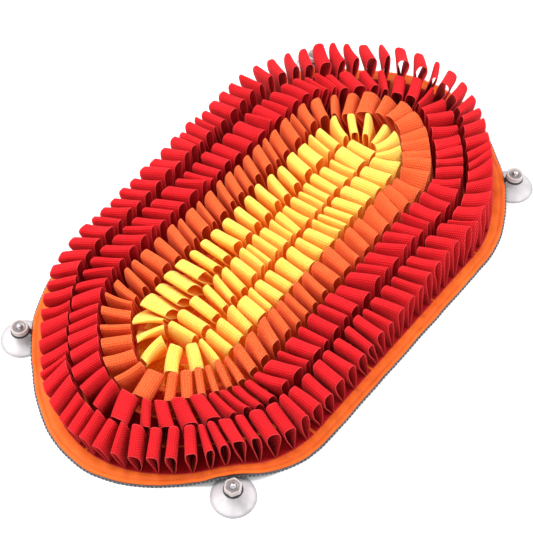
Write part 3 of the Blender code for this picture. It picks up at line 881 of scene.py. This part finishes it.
def make_ring(ring, material, slot, thick):
    """The lengths of ribbon of one ring."""
    line, loops = pleat_plan(ring)
    give_character(loops, line, RINGS[ring]["seed"])
    names = [name for name, _ in LENGTHS[ring]]
    firsts = [first for _, first in LENGTHS[ring]] + [len(loops)]
    for name, first, end in zip(names, firsts, firsts[1:]):
        rings, uv, cut_length = thicken(ribbon_rows(loops[first:end], line), thick)
        points, faces = rings.reshape(-1, 3), ring_faces(*rings.shape[:2])
        piece = make_piece(f"ribbon_{name}", points, faces, material, slot, (name,), uv.reshape(-1, 2))


# Look of each ribbon: its colour between threads, which is also its painted shade low down and under the
# loops, how much the weave shows, how much light it lets through, and a painted glow, an emitted colour that
# stands in for the light that so reaches its underside.
LOOKS = {
    "red": {"shade": (0.36, 0.003, 0.006), "contrast": 0.80, "softness": 0.0},
    "orange": {
        "shade": (0.62, 0.055, 0.010), "contrast": 0.80, "softness": 0.5, "glow": (0.08, 0.009, 0.001),
    },
    "yellow": {
        "shade": (1.0, 0.34, 0.018), "contrast": 0.50, "softness": 0.8, "glow": (0.17, 0.036, 0.002),
    },
}
# Heights between which a ribbon goes from its painted shade to its lit colour.
DEEP_LEVEL = 9.0
LIT_LEVEL = 33.0
# Width of the band along each edge of the ribbon that is drawn paler, toward white.
PALER_EDGE = 0.8


def weave_of_dots(shader, pitch):
    """Raised dots in rows, each row moved on by half a dot, from 0 between them to 1 on top."""
    along, across = shader.map_axes()
    row = (along / pitch).floor()
    in_row = (along / pitch).fraction()
    beside = (across / pitch + (row % 2.0) * 0.5).fraction()
    return (in_row * math.pi).sine() * (beside * math.pi).sine()


def ribbon_material(name, rgb, pitch, look):
    """Woven ribbon: deeper in colour between its threads, with painted shade low down and under the loops.
    """
    shader = Shader(name)
    threads = weave_of_dots(shader, pitch)
    _, across = shader.map_axes()
    half = RIBBON_WIDTH * 0.5
    edge = shader.between(across.absolute(), (half - PALER_EDGE) * MM, half * MM)
    # Painted shade low down, from the shade colour near the base to the lit colour higher up.
    painted_light_by_height = shader.between(shader.height(), DEEP_LEVEL * MM, LIT_LEVEL * MM)
    dye = shader.cloudy(9.0 * MM, 3.0)
    # Painted shade on faces that look down, under the loops, stronger on the softer ribbons.
    under = shader.between(shader.upward(), 0.55, -0.45)
    softness, shade = look["softness"], solid(look["shade"])
    body = shader.mix(painted_light_by_height - under * (0.2 + softness * 0.7), shade, solid(rgb))
    body = shader.mix((1.0 - threads) * look["contrast"] + (0.5 - dye) * 0.3, body, shade)
    # The ribbon drawn a little paler along its edges.
    body = shader.mix(edge * 0.3, body, tinted(rgb, WHITE, 0.08))
    fuzz = shader.cloudy(0.5 * MM, 2.0)
    if softness:
        # Painted glow: an emitted colour on the undersides, for the light let through the ribbon.
        glow = look["glow"]
        shader.wear(Emission_Color=shader.mix(under, solid(glow, 0.0), solid(glow)), Emission_Strength=1.0)
    return shader.wear(
        Base_Color=body, Roughness=0.92 - threads * 0.14,
        Normal=shader.bump(threads + fuzz * 0.35, 0.45 * MM, 1.0), Specular_IOR_Level=0.12,
        Sheen_Weight=0.03, Sheen_Roughness=0.5, Subsurface_Weight=softness,
        Subsurface_Radius=(1.0, 0.55, 0.2), Subsurface_Scale=2.4 * MM,
    )


def make_ribbon(context, dye, pitch, rings):
    """The rings of one colour of ribbon."""
    rgb = getattr(context.scene.snuffle_colours, dye)
    material = ribbon_material(f"{dye}_ribbon_weave", rgb, pitch, LOOKS[dye])
    for ring in rings:
        make_ring(ring, material, f"{dye}_ribbon", context.scene.snuffle_sizes.ribbon_thick / MM)
    return {"FINISHED"}


class SNUFFLE_OT_red_ribbon(bpy.types.Operator):
    """Make the two outer rings of red ribbon"""

    bl_idname = "snuffle.red_ribbon"
    bl_label = "Red ribbon"

    def execute(self, context):
        return make_ribbon(context, "red", context.scene.snuffle_sizes.red_weave, ("outer", "inner"))


class SNUFFLE_OT_orange_ribbon(bpy.types.Operator):
    """Make the middle ring of orange ribbon"""

    bl_idname = "snuffle.orange_ribbon"
    bl_label = "Orange ribbon"

    def execute(self, context):
        return make_ribbon(context, "orange", context.scene.snuffle_sizes.soft_weave, ("orange",))


class SNUFFLE_OT_yellow_ribbon(bpy.types.Operator):
    """Make the inner ring and the middle row of yellow ribbon"""

    bl_idname = "snuffle.yellow_ribbon"
    bl_label = "Yellow ribbon"

    def execute(self, context):
        return make_ribbon(context, "yellow", context.scene.snuffle_sizes.soft_weave, ("yellow", "centre"))


# ---- Base ----------------------------------------------------------------------------------------------

FLAT_INSETS = (14.0, 18.0, 22.0, 26.0, 31.0, 37.0, 44.0)
# The base cloth from its edge inward: inset, and height over the flat cloth. It is puffed up between its
# edge and the seam, and pulled down along the seam.
BORDER = (
    (0.0, -0.9), (0.25, -0.35), (0.9, 0.05), (1.9, 0.25), (3.0, 0.20), (4.0, -0.15), (4.6, -0.35),
    (5.2, -0.15), (6.4, 0.15), (8.5, 0.25), (11.0, 0.10), *((inset, 0.0) for inset in FLAT_INSETS),
)
CLOTH_UNDER_INSETS = (0.4, 4.0, 9.0, *FLAT_INSETS)
LEAST_CLOTH = 0.35
BORDER_STEPS = 520
# How the cloth's cut edge wanders in and out, in mm: the noise's scale, a slow part and a finer part.
WANDER_SCALE = 9.0
WANDER = 0.7
FINER = 3.1
FINE_WANDER = 0.25
# Troughs that the seam gathers, and slower swells: the noise's scale, its drift inward and its height.
GATHERS = (26.0, 0.05, 1.1)
SWELLS = (9.0, 0.03, 0.9)
# Insets of the gathers' middle and half width, of the swells' start, and where the ribbon flattens both.
GATHER_MIDDLE = 6.0
GATHER_REACH = 6.0
SWELL_STARTS = (0.0, 6.0)
UNDER_RIBBON = (9.0, 16.0)

# The mesh backing: insets of its flat top and underside, and its rounded edge as insets and heights.
BACKING_INSETS = (44.0, 36.0, 28.0, 22.0, 16.0, 11.0, 6.0, 0.0)
BACKING_EDGE = ((-0.9, 1.35), (-BACKING_OVERHANG, 1.0), (-0.9, 0.65))
BACKING_UNDERSIDE = 0.5
# Share of the cloth's wander that the backing's edge follows, and how far its own edge frays.
BACKING_WANDER = 0.6
FRAY = 0.35

# A grip dot from its root down: share of its radius, and height over the floor where the mat lies flat.
DOT_RINGS = ((1.0, 0.62), (0.85, 0.22), (0.4, 0.04))
DOT_SIDES = 6
# Distance between rows of dots, as a share of the distance between dots.
DOT_ROW_STEP = 0.866
# Dots that the backing shows along its cut edge: their distance, place outward and up, and thickness.
EDGE_DOT_PITCH = 3.6
EDGE_DOT_OUT = 0.95
EDGE_DOT_LEVEL = 0.95
EDGE_DOT_SHARE = 0.72


def ring_place(distance):
    """A place on a circle of radius 1 for a distance along the outline, for noise that meets itself."""
    angle = math.tau * distance / BASE_LINE.length
    return Vector((math.cos(angle), math.sin(angle), 0.0))


def outline_wander(distance):
    """How far the cut edge wanders in and out, in mm."""
    place = ring_place(distance) * WANDER_SCALE
    return noise.noise(place) * WANDER + noise.noise(place * FINER) * FINE_WANDER


def pucker(distance, inset):
    """Height of the soft troughs that the seam draws into the cloth, across the border."""
    near_seam = math.exp(-(((inset - GATHER_MIDDLE) / GATHER_REACH) ** 2))
    gather = border_noise(distance, inset, *GATHERS) * near_seam
    swell = border_noise(distance, inset, *SWELLS) * smooth_step(*SWELL_STARTS, inset)
    return (gather + swell) * (1.0 - smooth_step(*UNDER_RIBBON, inset))


def border_noise(distance, inset, scale, drift, height):
    """Uneven height along the border, which changes a little from its edge inward."""
    place = ring_place(distance) * scale + Vector((0.0, 0.0, inset * drift))
    return noise.noise(place) * height


def border_place(distance, inset, share=1.0):
    """The point at an inset from the base's outline, which follows a share of the cut edge's wander."""
    point, _, outward = BASE_LINE.frame(distance)
    return point - outward * (inset - outline_wander(distance) * share)


def oval_skin(section, point_at):
    """Points, faces and UV map of closed ovals along the base's outline, one for each row of a section."""
    distances = [BASE_LINE.length * step / BORDER_STEPS for step in range(BORDER_STEPS)]
    points = [point_at(distance, *row) for row in section for distance in distances]
    return points, ring_faces(len(section), BORDER_STEPS), [point[:2] for point in points]


def cloth_point(distance, inset, rise):
    """A point on top of the orange cloth where it has a rise, and otherwise on its underside."""
    place = border_place(distance, inset)
    level = cloth_lift(place.x, place.y)
    if rise is not None:
        level += max(CLOTH_THICK + rise + pucker(distance, inset), LEAST_CLOTH)
    return place.x, place.y, level


def make_base_cloth(material):
    """The orange cloth: a flat middle, the border and an underside."""
    section = [*BORDER[::-1], *((inset, None) for inset in CLOTH_UNDER_INSETS)]
    points, faces, uv = oval_skin(section, cloth_point)
    return make_piece("orange_border_cloth", points, faces, material, "orange_cloth", ("base_cloth",), uv)


# What the cloth's colour is tinted toward in its deeper and paler patches, and the painted shade in its
# creases.
DEEP_ORANGE = (0.86, 0.09, 0.008)
PALE_ORANGE = (1.0, 0.28, 0.035)
PAINTED_CREASE_SHADE = (0.72, 0.062, 0.008)
YARN = 0.55


def cloth_material(rgb):
    """Smooth plain-woven cloth with soft wrinkles, painted shade in their troughs, deeper and paler in
    patches.
    """
    shader = Shader("orange_border_weave")
    x, y = shader.map_axes()
    warp, weft = [(axis / (YARN * MM) * math.pi).sine().absolute() for axis in (x, y)]
    patches = shader.cloudy(38.0 * MM, 2.0)
    rumples = shader.cloudy(11.0 * MM, 3.0)
    body = shader.mix(patches, tinted(rgb, DEEP_ORANGE, 0.5), tinted(rgb, PALE_ORANGE, 0.5))
    # Painted shade in the troughs of the wrinkles.
    body = shader.mix((1.0 - rumples) * 0.3, body, solid(PAINTED_CREASE_SHADE))
    normal = shader.bump(warp * weft, 0.06 * MM, 0.4, shader.bump(rumples, 1.4 * MM, 0.6))
    roughness = 0.50 + patches * 0.16
    return shader.wear(Base_Color=body, Roughness=roughness, Normal=normal, Specular_IOR_Level=0.15)


class SNUFFLE_OT_base_cloth(bpy.types.Operator):
    """Make the orange cloth that the ribbon is sewn to"""

    bl_idname = "snuffle.base_cloth"
    bl_label = "Base cloth"

    def execute(self, context):
        cloth = make_base_cloth(cloth_material(context.scene.snuffle_colours.cloth))
        area = oval_area(0.0) * MM * MM
        return {"FINISHED"}


def oval_area(overhang):
    """Area inside the base's outline moved out by the overhang, in square mm."""
    points = []
    for step in range(360):
        point, _, outward = BASE_LINE.frame(BASE_LINE.length * step / 360)
        points.append(point + outward * overhang)
    pairs = zip(points, points[1:] + points[:1])
    return abs(sum(here.x * ahead.y - ahead.x * here.y for here, ahead in pairs)) * 0.5


def backing_point(distance, inset, height):
    """A point of the mesh, whose cut edge is a little frayed."""
    fray = noise.noise(Vector((distance * 0.35, 3.0, 0.0))) * FRAY if inset < 0.0 else 0.0
    place = border_place(distance, inset - fray, BACKING_WANDER)
    return place.x, place.y, edge_lift(place.x, place.y) + height


def make_backing(material):
    """The knitted mesh layer: a thin oval with a rounded edge that shows past the orange cloth."""
    top = [(inset, BACKING_THICK) for inset in BACKING_INSETS]
    under = [(inset, BACKING_UNDERSIDE) for inset in reversed(BACKING_INSETS)]
    points, faces, uv = oval_skin([*top, *BACKING_EDGE, *under], backing_point)
    return make_piece("mesh_backing", points, faces, material, "backing_mesh", ("base_backing",), uv)


def inside_base(x, y, inset):
    """Whether a point lies inside the base's outline by at least the inset."""
    end = min(max(x, -STRAIGHT_HALF), STRAIGHT_HALF)
    across = Vector((x - end, y))
    if across.length < 1e-6:
        return True
    angle = math.atan2(across.y, across.x)
    corner = ("left" if x < 0.0 else "right") + ("_far" if y > 0.0 else "_near")
    reach = BASE_RADIUS * (1.0 - CORNER_FLATNESS[corner] * math.sin(2.0 * angle) ** 2)
    return across.length < reach - inset


def dot_points(x, y, radius):
    """Rings of points round a grip dot under the backing."""
    points = []
    for share, height in DOT_RINGS:
        for side in range(DOT_SIDES):
            angle = math.tau * side / DOT_SIDES
            spot = Vector((x, y)) + Vector((math.cos(angle), math.sin(angle))) * (radius * share)
            points.append((spot.x, spot.y, edge_lift(x, y) + height))
    return points


def make_dots(material, pitch, radius):
    """Grip dots on the underside, in staggered rows, and those that the cut edge shows."""
    skin = Skin()
    rows = int(BASE_RADIUS // (pitch * DOT_ROW_STEP))
    columns = int((STRAIGHT_HALF + BASE_RADIUS) // pitch) + 1
    faces = ring_faces(len(DOT_RINGS), DOT_SIDES)
    for row in range(-rows, rows + 1):
        for column in range(-columns, columns + 1):
            x, y = (column + 0.5 * (row % 2)) * pitch, row * pitch * DOT_ROW_STEP
            if inside_base(x, y, -0.4):
                skin.add(dot_points(x, y, radius), faces)
    count = round(BASE_LINE.length / EDGE_DOT_PITCH)
    for index in range(count):
        wander_out = outline_wander(BASE_LINE.length * index / count) * BACKING_WANDER
        path = []
        for share in (-0.25, 0.25):
            point, _, outward = BASE_LINE.frame(BASE_LINE.length * (index + share) / count)
            place = point + outward * (EDGE_DOT_OUT + wander_out)
            path.append(Vector((place.x, place.y, edge_lift(place.x, place.y) + EDGE_DOT_LEVEL)))
        skin.add_tube(path, [radius * EDGE_DOT_SHARE] * 2, 8)
    return make_piece("grip_dots", skin.points, skin.faces, material, "backing_mesh")


def backing_material(rgb):
    """Knitted mesh: small open cells filled with painted shade, between paler yarn."""
    shader = Shader("knit_mesh")
    x, y = shader.map_axes()
    cell = 1.7 * MM
    row = (y / cell).floor()
    across = (x / cell + (row % 2.0) * 0.5).fraction() - 0.5
    up = (y / cell).fraction() - 0.5
    hole = shader.between((across * across + up * up) ** 0.5, 0.20, 0.34)
    # The open cells are painted nearly black, as painted shade where one would see through the mesh.
    body = shader.mix(hole, solid(rgb, 0.12), solid(rgb))
    return shader.wear(Base_Color=body, Roughness=0.85, Normal=shader.bump(hole, 0.4 * MM, 0.8))


def dot_material(rgb):
    shader = Shader("grip_dot_rubber")
    dust = shader.cloudy(4.0 * MM)
    body = shader.mix(dust * 0.5, solid(rgb), solid(rgb, 3.0))
    return shader.wear(Base_Color=body, Roughness=0.35 + dust * 0.2)


class SNUFFLE_OT_backing(bpy.types.Operator):
    """Make the mesh backing and its grip dots"""

    bl_idname = "snuffle.backing"
    bl_label = "Mesh backing"

    def execute(self, context):
        colours, sizes = context.scene.snuffle_colours, context.scene.snuffle_sizes
        dots = make_dots(dot_material(colours.dots), sizes.dot_pitch / MM, sizes.dot_radius / MM)
        backing = make_backing(backing_material(colours.backing))
        area = oval_area(BACKING_OVERHANG) * MM * MM
        return {"FINISHED"}


# ---- Sewing --------------------------------------------------------------------------------------------


# One stitch from end to end: share of its length, height over the cloth and share of the thread's thickness.
STITCH = ((0.0, -0.35, 0.32), (0.12, 0.10, 0.5), (0.5, 0.28, 0.5), (0.88, 0.10, 0.5), (1.0, -0.35, 0.32))
# Share of the stitch length that its thread shows, and how far the seam is drawn into the cloth.
STITCH_SHOWS = (0.66, 0.76)
SEAM_SINK = 0.35
LOOSE_THREADS = 64
LOOSE_THREAD_LENGTHS = (2.0, 5.0)
LOOSE_THREAD_POINTS = 7
LOOSE_THREAD_RADIUS = 0.2
THREAD_SIDES = 5


def make_seam(material, pitch, inset, thick):
    """The border's seam: one short thread after another, sunk a little at both ends."""
    skin = Skin()
    draw = random.Random(71)
    count = round(BASE_LINE.length / pitch)
    for index in range(count):
        start = BASE_LINE.length * index / count
        span = BASE_LINE.length / count * draw.uniform(*STITCH_SHOWS)
        path = []
        for share, rise, _ in STITCH:
            distance = start + span * share
            place = border_place(distance, inset)
            level = cloth_lift(place.x, place.y) + CLOTH_THICK - SEAM_SINK + pucker(distance, inset)
            path.append(Vector((place.x, place.y, level + rise)))
        skin.add_tube(path, [thick * girth for _, _, girth in STITCH], THREAD_SIDES)
    return make_piece("border_seam", skin.points, skin.faces, material, "orange_cloth")


def make_loose_threads(material):
    """Short frayed threads that stand out from the outer ring's cut edges near the border."""
    skin = Skin()
    draw = random.Random(83)
    line, _ = pleat_plan("outer")
    for _ in range(LOOSE_THREADS):
        point, along, outward = line.frame(draw.uniform(0.0, line.length))
        root = point + outward * (RIBBON_WIDTH * 0.5 - 0.4)
        low = ribbon_foot(root.x, root.y) - 0.1
        heading = (outward * draw.uniform(0.5, 1.0) + along * draw.uniform(-1.0, 1.0)).normalized()
        reach = draw.uniform(*LOOSE_THREAD_LENGTHS)
        turn = draw.uniform(-0.9, 0.9)
        path, radii = [], []
        for step in range(LOOSE_THREAD_POINTS):
            share = step / (LOOSE_THREAD_POINTS - 1)
            place = root + Matrix.Rotation(turn * share, 2) @ heading * reach * share
            level = max(low - 1.1 * share, cloth_lift(place.x, place.y) + CLOTH_THICK + 0.3)
            path.append(Vector((place.x, place.y, level + math.sin(share * math.pi) * 0.8)))
            radii.append(LOOSE_THREAD_RADIUS - 0.015 * step)
        skin.add_tube(path, radii, THREAD_SIDES)
    return make_piece("frayed_threads", skin.points, skin.faces, material, "red_ribbon")


def thread_material(name, rgb):
    """Twisted thread, with a painted highlight on top of each turn and painted shade between turns."""
    shader = Shader(name)
    twist = shader.cloudy(0.45 * MM)
    # Painted highlight where the twist stands up, painted shade where it sinks.
    body = shader.mix(twist, solid(rgb, 0.7), tinted(rgb, WHITE, 0.12))
    return shader.wear(Base_Color=body, Roughness=0.55, Normal=shader.bump(twist, 0.15 * MM, 0.7))


class SNUFFLE_OT_sewing(bpy.types.Operator):
    """Make the border's seam and the frayed threads"""

    bl_idname = "snuffle.sewing"
    bl_label = "Sewing"

    def execute(self, context):
        colours, sizes = context.scene.snuffle_colours, context.scene.snuffle_sizes
        seam = thread_material("orange_thread", colours.cloth)
        make_seam(seam, sizes.stitch / MM, sizes.seam_inset / MM, sizes.thread / MM)
        make_loose_threads(thread_material("red_thread", colours.red))
        return {"FINISHED"}


# ---- Cups, nuts, screws and straps -----------------------------------------------------------------------

# Radius and height over the floor, up the cup's socket, down its outside and back under its bell.
CUP_PROFILE = (
    (3.05, 8.6), (3.05, 13.0), (3.35, 13.3), (5.0, 13.3), (5.4, 13.0), (5.4, 10.2), (5.7, 9.0),
    (6.6, 7.8), (8.6, 6.7), (11.5, 5.3), (14.5, 3.8), (17.2, 2.5), (18.8, 1.75), (19.5, 1.25),
    (20.0, 0.85), (20.15, 0.45), (19.9, 0.12), (19.3, 0.0), (18.5, 0.35), (16.5, 1.3), (13.0, 2.5),
    (9.0, 3.2), (5.0, 3.5), (0.02, 3.6), (0.02, 8.6),
)
# The same for a nut, with a ridge round its mouth and a groove round its middle.
NUT_PROFILE = (
    (3.3, 19.6), (5.3, 19.7), (6.0, 20.2), (6.3, 21.1), (6.8, 21.4), (7.5, 21.2), (7.95, 20.6),
    (7.75, 19.9), (7.3, 19.2), (7.4, 18.5), (7.9, 17.8), (7.95, 16.4), (7.5, 15.5), (6.6, 15.05),
    (3.9, 15.05), (3.3, 15.4),
)
NUT_MOUTH = 19.7
# Flat sides of the nuts that have them. The others look round in the photo.
NUT_FLATS = {"left_near": 6}
TURNS = 72
SCREW_TURNS = 32
SCREW_TIP = ((0.02, 24.0), (1.2, 23.9), (2.0, 23.4), (2.35, 22.7))
SCREW_FOOT = ((2.5, 8.9), (0.02, 8.9))
THREAD_TOP = 22.2
THREAD_END = 9.4
THREAD_PITCH = 0.9
THREAD_CREST = 2.66
THREAD_ROOT = 2.30
# Painted shade at the cups' lips, where they meet the floor.
PAINTED_RIM_SHADE = (0.24, 0.22, 0.28)
# Painted shade of the nuts: dark lines where they turn away and the inside of their mouths.
PAINTED_NUT_SHADE = (0.13, 0.11, 0.11)


def screw_profile():
    """The screw from its rounded tip down, with a shallow thread."""
    points = list(SCREW_TIP)
    level = THREAD_TOP
    while level > THREAD_END:
        points += [(THREAD_CREST, level), (THREAD_ROOT, level - THREAD_PITCH * 0.5)]
        level -= THREAD_PITCH
    return (*points, *SCREW_FOOT)


def clear_material(rgb):
    """Clear soft plastic: see-through face on, greyer at a slant, with sectors of painted highlight and a
    painted dark lip.
    """
    shader = Shader("clear_soft_plastic")
    # Painted highlights: light and dark sectors round the cup.
    highlight_fans = shader.between(shader.cloudy(9.0 * MM, 0.0, shader.uv_map()), 0.35, 0.65)
    # Painted shade round the cup's lip where it meets the floor, darker and less see-through.
    rim_shade_mask = shader.between(shader.height(), 0.75 * MM, 0.4 * MM)
    body = shader.mix(highlight_fans, solid(rgb, 0.9), tinted(rgb, WHITE, 0.4))
    body = shader.mix(rim_shade_mask, body, solid(PAINTED_RIM_SHADE))
    alpha = 0.42 + shader.slant(0.35) * 0.4 - highlight_fans * 0.14 + rim_shade_mask * 0.3
    return shader.wear(
        Base_Color=body, Roughness=0.10 + highlight_fans * 0.05, Alpha=alpha, IOR=1.5, Specular_IOR_Level=0.6
    )


def nut_material(rgb):
    """Harder clear plastic, cloudy and pinkish, painted dark lines where it turns away, painted shade in its
    mouth.
    """
    shader = Shader("clear_nut_plastic")
    slant = shader.slant(0.45)
    haze = shader.cloudy(3.0 * MM)
    # Painted shade in a band at the height of the mouth's floor, which also crosses the groove outside.
    mouth_shade = 1.0 - shader.between((shader.height() - NUT_MOUTH * MM).absolute(), 0.2 * MM, 0.7 * MM)
    # Painted dark lines where the nut turns away from the eye.
    body = shader.mix(slant ** 2.0 + mouth_shade * 0.7, solid(rgb), solid(PAINTED_NUT_SHADE))
    return shader.wear(
        Base_Color=body, Roughness=0.12 + haze * 0.1, Alpha=0.62 + slant * 0.35, IOR=1.5
    )


def steel_material(rgb):
    shader = Shader("screw_steel")
    smear = shader.cloudy(1.6 * MM, 3.0)
    body = shader.mix(smear, solid(rgb, 0.7), solid(rgb, 1.15))
    normal = shader.bump(smear, 0.04 * MM, 0.4)
    return shader.wear(Base_Color=body, Roughness=0.18 + smear * 0.22, Normal=normal, Metallic=1.0)


class SNUFFLE_OT_suction_cups(bpy.types.Operator):
    """Make the clear cups and nuts and the steel screws"""

    bl_idname = "snuffle.suction_cups"
    bl_label = "Suction cups"

    def execute(self, context):
        colours = context.scene.snuffle_colours
        clear, hard = clear_material(colours.plastic), nut_material(colours.nut)
        steel = steel_material(colours.steel)
        for name, place in CUP_PLACES.items():
            points, faces = turned(CUP_PROFILE, TURNS, place)
            uv = [tuple((Vector(point[:2]) - Vector(place)).normalized() * CUP_RADIUS) for point in points]
            make_piece(f"suction_cup_{name}", points, faces, clear, "clear_plastic", (f"cup_{name}",), uv)
            nut = turned(NUT_PROFILE, TURNS, place, NUT_FLATS.get(name, 0))
            make_piece(f"clamping_nut_{name}", *nut, hard, "clear_plastic", (f"nut_{name}",))
            screw = turned(screw_profile(), SCREW_TURNS, place)
            make_piece(f"threaded_screw_{name}", *screw, steel, "steel", (f"screw_{name}",))
        return {"FINISHED"}


# The strap: half its width and thickness, how square its section is, and its height over its bed.
STRAP_HALF_WIDTH = 2.9
STRAP_HALF_THICK = 0.55
STRAP_SQUARENESS = 0.35
STRAP_ABOVE = GAP + 0.75
STRAP_ROWS = 25
STRAP_SIDES = 12
# The eye's ring of elastic: radius of its middle, half its width and half its thickness.
EYE_MIDDLE = 6.1
EYE_HALF_WIDTH = 2.6
EYE_HALF_THICK = 0.66
EYE_STEPS = 16
EYE_TURNS = 40


def lift_inside(edge, inward, inset):
    """Height of the strap's bed on the backing at a distance in from the mat's edge."""
    place = edge + inward * inset
    return edge_lift(place.x, place.y) + BACKING_THICK


def strap_skin(centre, edge, inward):
    """Rings of points round the strap, from the eye's edge to its sewn end, and their faces."""
    sideways = Vector((-inward.y, inward.x))
    reach = (edge - centre).length
    knots = (
        (EYE_RADIUS - 0.9, STRAP_LEVEL), (EYE_RADIUS + 0.3, STRAP_LEVEL),
        (reach - 1.0, lift_inside(edge, inward, 0.0) + STRAP_ABOVE + 0.9),
        (reach + 1.2, lift_inside(edge, inward, 1.2) + STRAP_ABOVE),
        (reach + STRAP_ROOT, lift_inside(edge, inward, STRAP_ROOT) + STRAP_ABOVE),
    )
    points = []
    for row in range(STRAP_ROWS):
        place = row / (STRAP_ROWS - 1) * (len(knots) - 1)
        index = min(int(place), len(knots) - 2)
        (near, low), (far, high) = knots[index:index + 2]
        spot = centre + inward * (near + (far - near) * (place - index))
        height = low + (high - low) * smooth_step(0.0, 1.0, place - index)
        for side in range(STRAP_SIDES):
            angle = math.tau * side / STRAP_SIDES
            across = math.copysign(abs(math.cos(angle)) ** STRAP_SQUARENESS, math.cos(angle))
            point = spot + sideways * (across * STRAP_HALF_WIDTH)
            points.append((point.x, point.y, height + math.sin(angle) * STRAP_HALF_THICK))
    return points, ring_faces(STRAP_ROWS, STRAP_SIDES)


def eye_skin(centre):
    """The strap's eye: a flat ring of elastic round the cup's socket."""
    profile = []
    for step in reversed(range(EYE_STEPS)):
        angle = math.tau * step / EYE_STEPS
        radius = EYE_MIDDLE + EYE_HALF_WIDTH * math.cos(angle)
        profile.append((radius, STRAP_LEVEL + EYE_HALF_THICK * math.sin(angle)))
    return turned(profile, EYE_TURNS, centre)


def elastic_material(rgb):
    """Woven elastic with fine ribs."""
    shader = Shader("strap_elastic")
    ribs = shader.cloudy(0.7 * MM, 1.0)
    body = shader.mix(ribs, solid(rgb), solid(rgb, 5.0))
    return shader.wear(Base_Color=body, Roughness=0.45 + ribs * 0.3, Normal=shader.bump(ribs, 0.3 * MM, 0.8))


class SNUFFLE_OT_straps(bpy.types.Operator):
    """Make the elastic straps that hold the cups"""

    bl_idname = "snuffle.straps"
    bl_label = "Straps"

    def execute(self, context):
        elastic = elastic_material(context.scene.snuffle_colours.elastic)
        for name, root in STRAP_ROOTS.items():
            skin = Skin()
            skin.add(*strap_skin(*root))
            skin.add(*eye_skin(root[0]))
            replaced = (f"strap_{name}",)
            make_piece(
                f"elastic_strap_{name}", skin.points, skin.faces, elastic, "black_elastic", replaced
            )
        return {"FINISHED"}


# ---- Floor, light and camera -----------------------------------------------------------------------------


FLOOR_REACH = 6.0
FLOOR_GREY = (0.93, 0.93, 0.93)
# Place and size of each light in metres, and its power as a share of the key light's.
LIGHTS = {
    "key_light": ((-0.35, 0.75, 1.45), 0.9, 1.0),
    "fill_light": ((0.9, -0.9, 1.2), 1.2, 0.6),
}


def add_light(name, place, size, power):
    """A square light that looks at the middle of the loops."""
    data = bpy.data.lights.new(name, "AREA")
    data.energy = power
    data.size = size
    made = bpy.data.objects.new(name, data)
    made.location = place
    made.rotation_euler = (LOOK_AT - Vector(place)).to_track_quat("-Z", "Y").to_euler()
    bpy.context.scene.collection.objects.link(made)


def add_floor():
    data = bpy.data.meshes.new("floor")
    corners = [(x * FLOOR_REACH, y * FLOOR_REACH, 0) for x, y in ((-1, -1), (1, -1), (1, 1), (-1, 1))]
    data.from_pydata(corners, [], [(0, 1, 2, 3)])
    data.materials.append(Shader("floor_paint").wear(Base_Color=solid(FLOOR_GREY), Roughness=0.7))
    floor = bpy.data.objects.new("floor", data)
    bpy.context.scene.collection.objects.link(floor)


class SNUFFLE_OT_stage(bpy.types.Operator):
    """Make the pale floor, the soft light and the camera"""

    bl_idname = "snuffle.stage"
    bl_label = "Stage"

    def execute(self, context):
        scene = context.scene
        stage = scene.snuffle_stage
        add_floor()
        world = bpy.data.worlds.new("studio")
        world.use_nodes = True
        sky = world.node_tree.nodes["Background"]
        sky.inputs["Color"].default_value = solid(WHITE)
        sky.inputs["Strength"].default_value = stage.sky
        scene.world = world
        for name, (place, size, share) in LIGHTS.items():
            add_light(name, place, size, stage.key_power * share)

        turn, rise = math.radians(stage.azimuth), math.radians(stage.elevation)
        back = Vector((math.sin(turn) * math.cos(rise), -math.cos(turn) * math.cos(rise), math.sin(rise)))
        lens = bpy.data.cameras.new("camera")
        lens.sensor_width = 36.0
        lens.lens = stage.lens
        camera = bpy.data.objects.new("camera", lens)
        camera.location = LOOK_AT + back * stage.distance
        camera.rotation_euler = back.to_track_quat("Z", "Y").to_euler()
        scene.collection.objects.link(camera)
        scene.camera = camera
        scene.view_settings.view_transform = "Standard"
        return {"FINISHED"}


# ---- Add-on ----------------------------------------------------------------------------------------------

PIECE_OPERATORS = (
    SNUFFLE_OT_backing, SNUFFLE_OT_base_cloth, SNUFFLE_OT_red_ribbon, SNUFFLE_OT_orange_ribbon,
    SNUFFLE_OT_yellow_ribbon, SNUFFLE_OT_sewing, SNUFFLE_OT_suction_cups, SNUFFLE_OT_straps,
    SNUFFLE_OT_stage,
)
SETTINGS = {
    "snuffle_colours": SnuffleMatColours,
    "snuffle_sizes": SnuffleMatSizes,
    "snuffle_stage": SnuffleMatStage,
}


class SNUFFLE_PT_panel(bpy.types.Panel):
    """Lists the mat's settings and the operators that make its pieces"""

    bl_idname = "SNUFFLE_PT_panel"
    bl_label = "Snuffle mat"
    bl_space_type = "VIEW_3D"
    bl_region_type = "UI"
    bl_category = "Snuffle mat"

    def draw(self, context):
        for name, group in SETTINGS.items():
            box = self.layout.box()
            for setting in group.__annotations__:
                box.prop(getattr(context.scene, name), setting)
        for operator in PIECE_OPERATORS:
            self.layout.operator(operator.bl_idname)


def register():
    for group in SETTINGS.values():
        bpy.utils.register_class(group)
    for name, group in SETTINGS.items():
        setattr(bpy.types.Scene, name, bpy.props.PointerProperty(type=group))
    for operator in PIECE_OPERATORS:
        bpy.utils.register_class(operator)
    bpy.utils.register_class(SNUFFLE_PT_panel)


def unregister():
    bpy.utils.unregister_class(SNUFFLE_PT_panel)
    for operator in reversed(PIECE_OPERATORS):
        bpy.utils.unregister_class(operator)
    for name, group in SETTINGS.items():
        delattr(bpy.types.Scene, name)
        bpy.utils.unregister_class(group)


def main():
    register()
    for operator in PIECE_OPERATORS:
        family, name = operator.bl_idname.split(".")
        getattr(getattr(bpy.ops, family), name)()


if __name__ == "__main__":
    main()
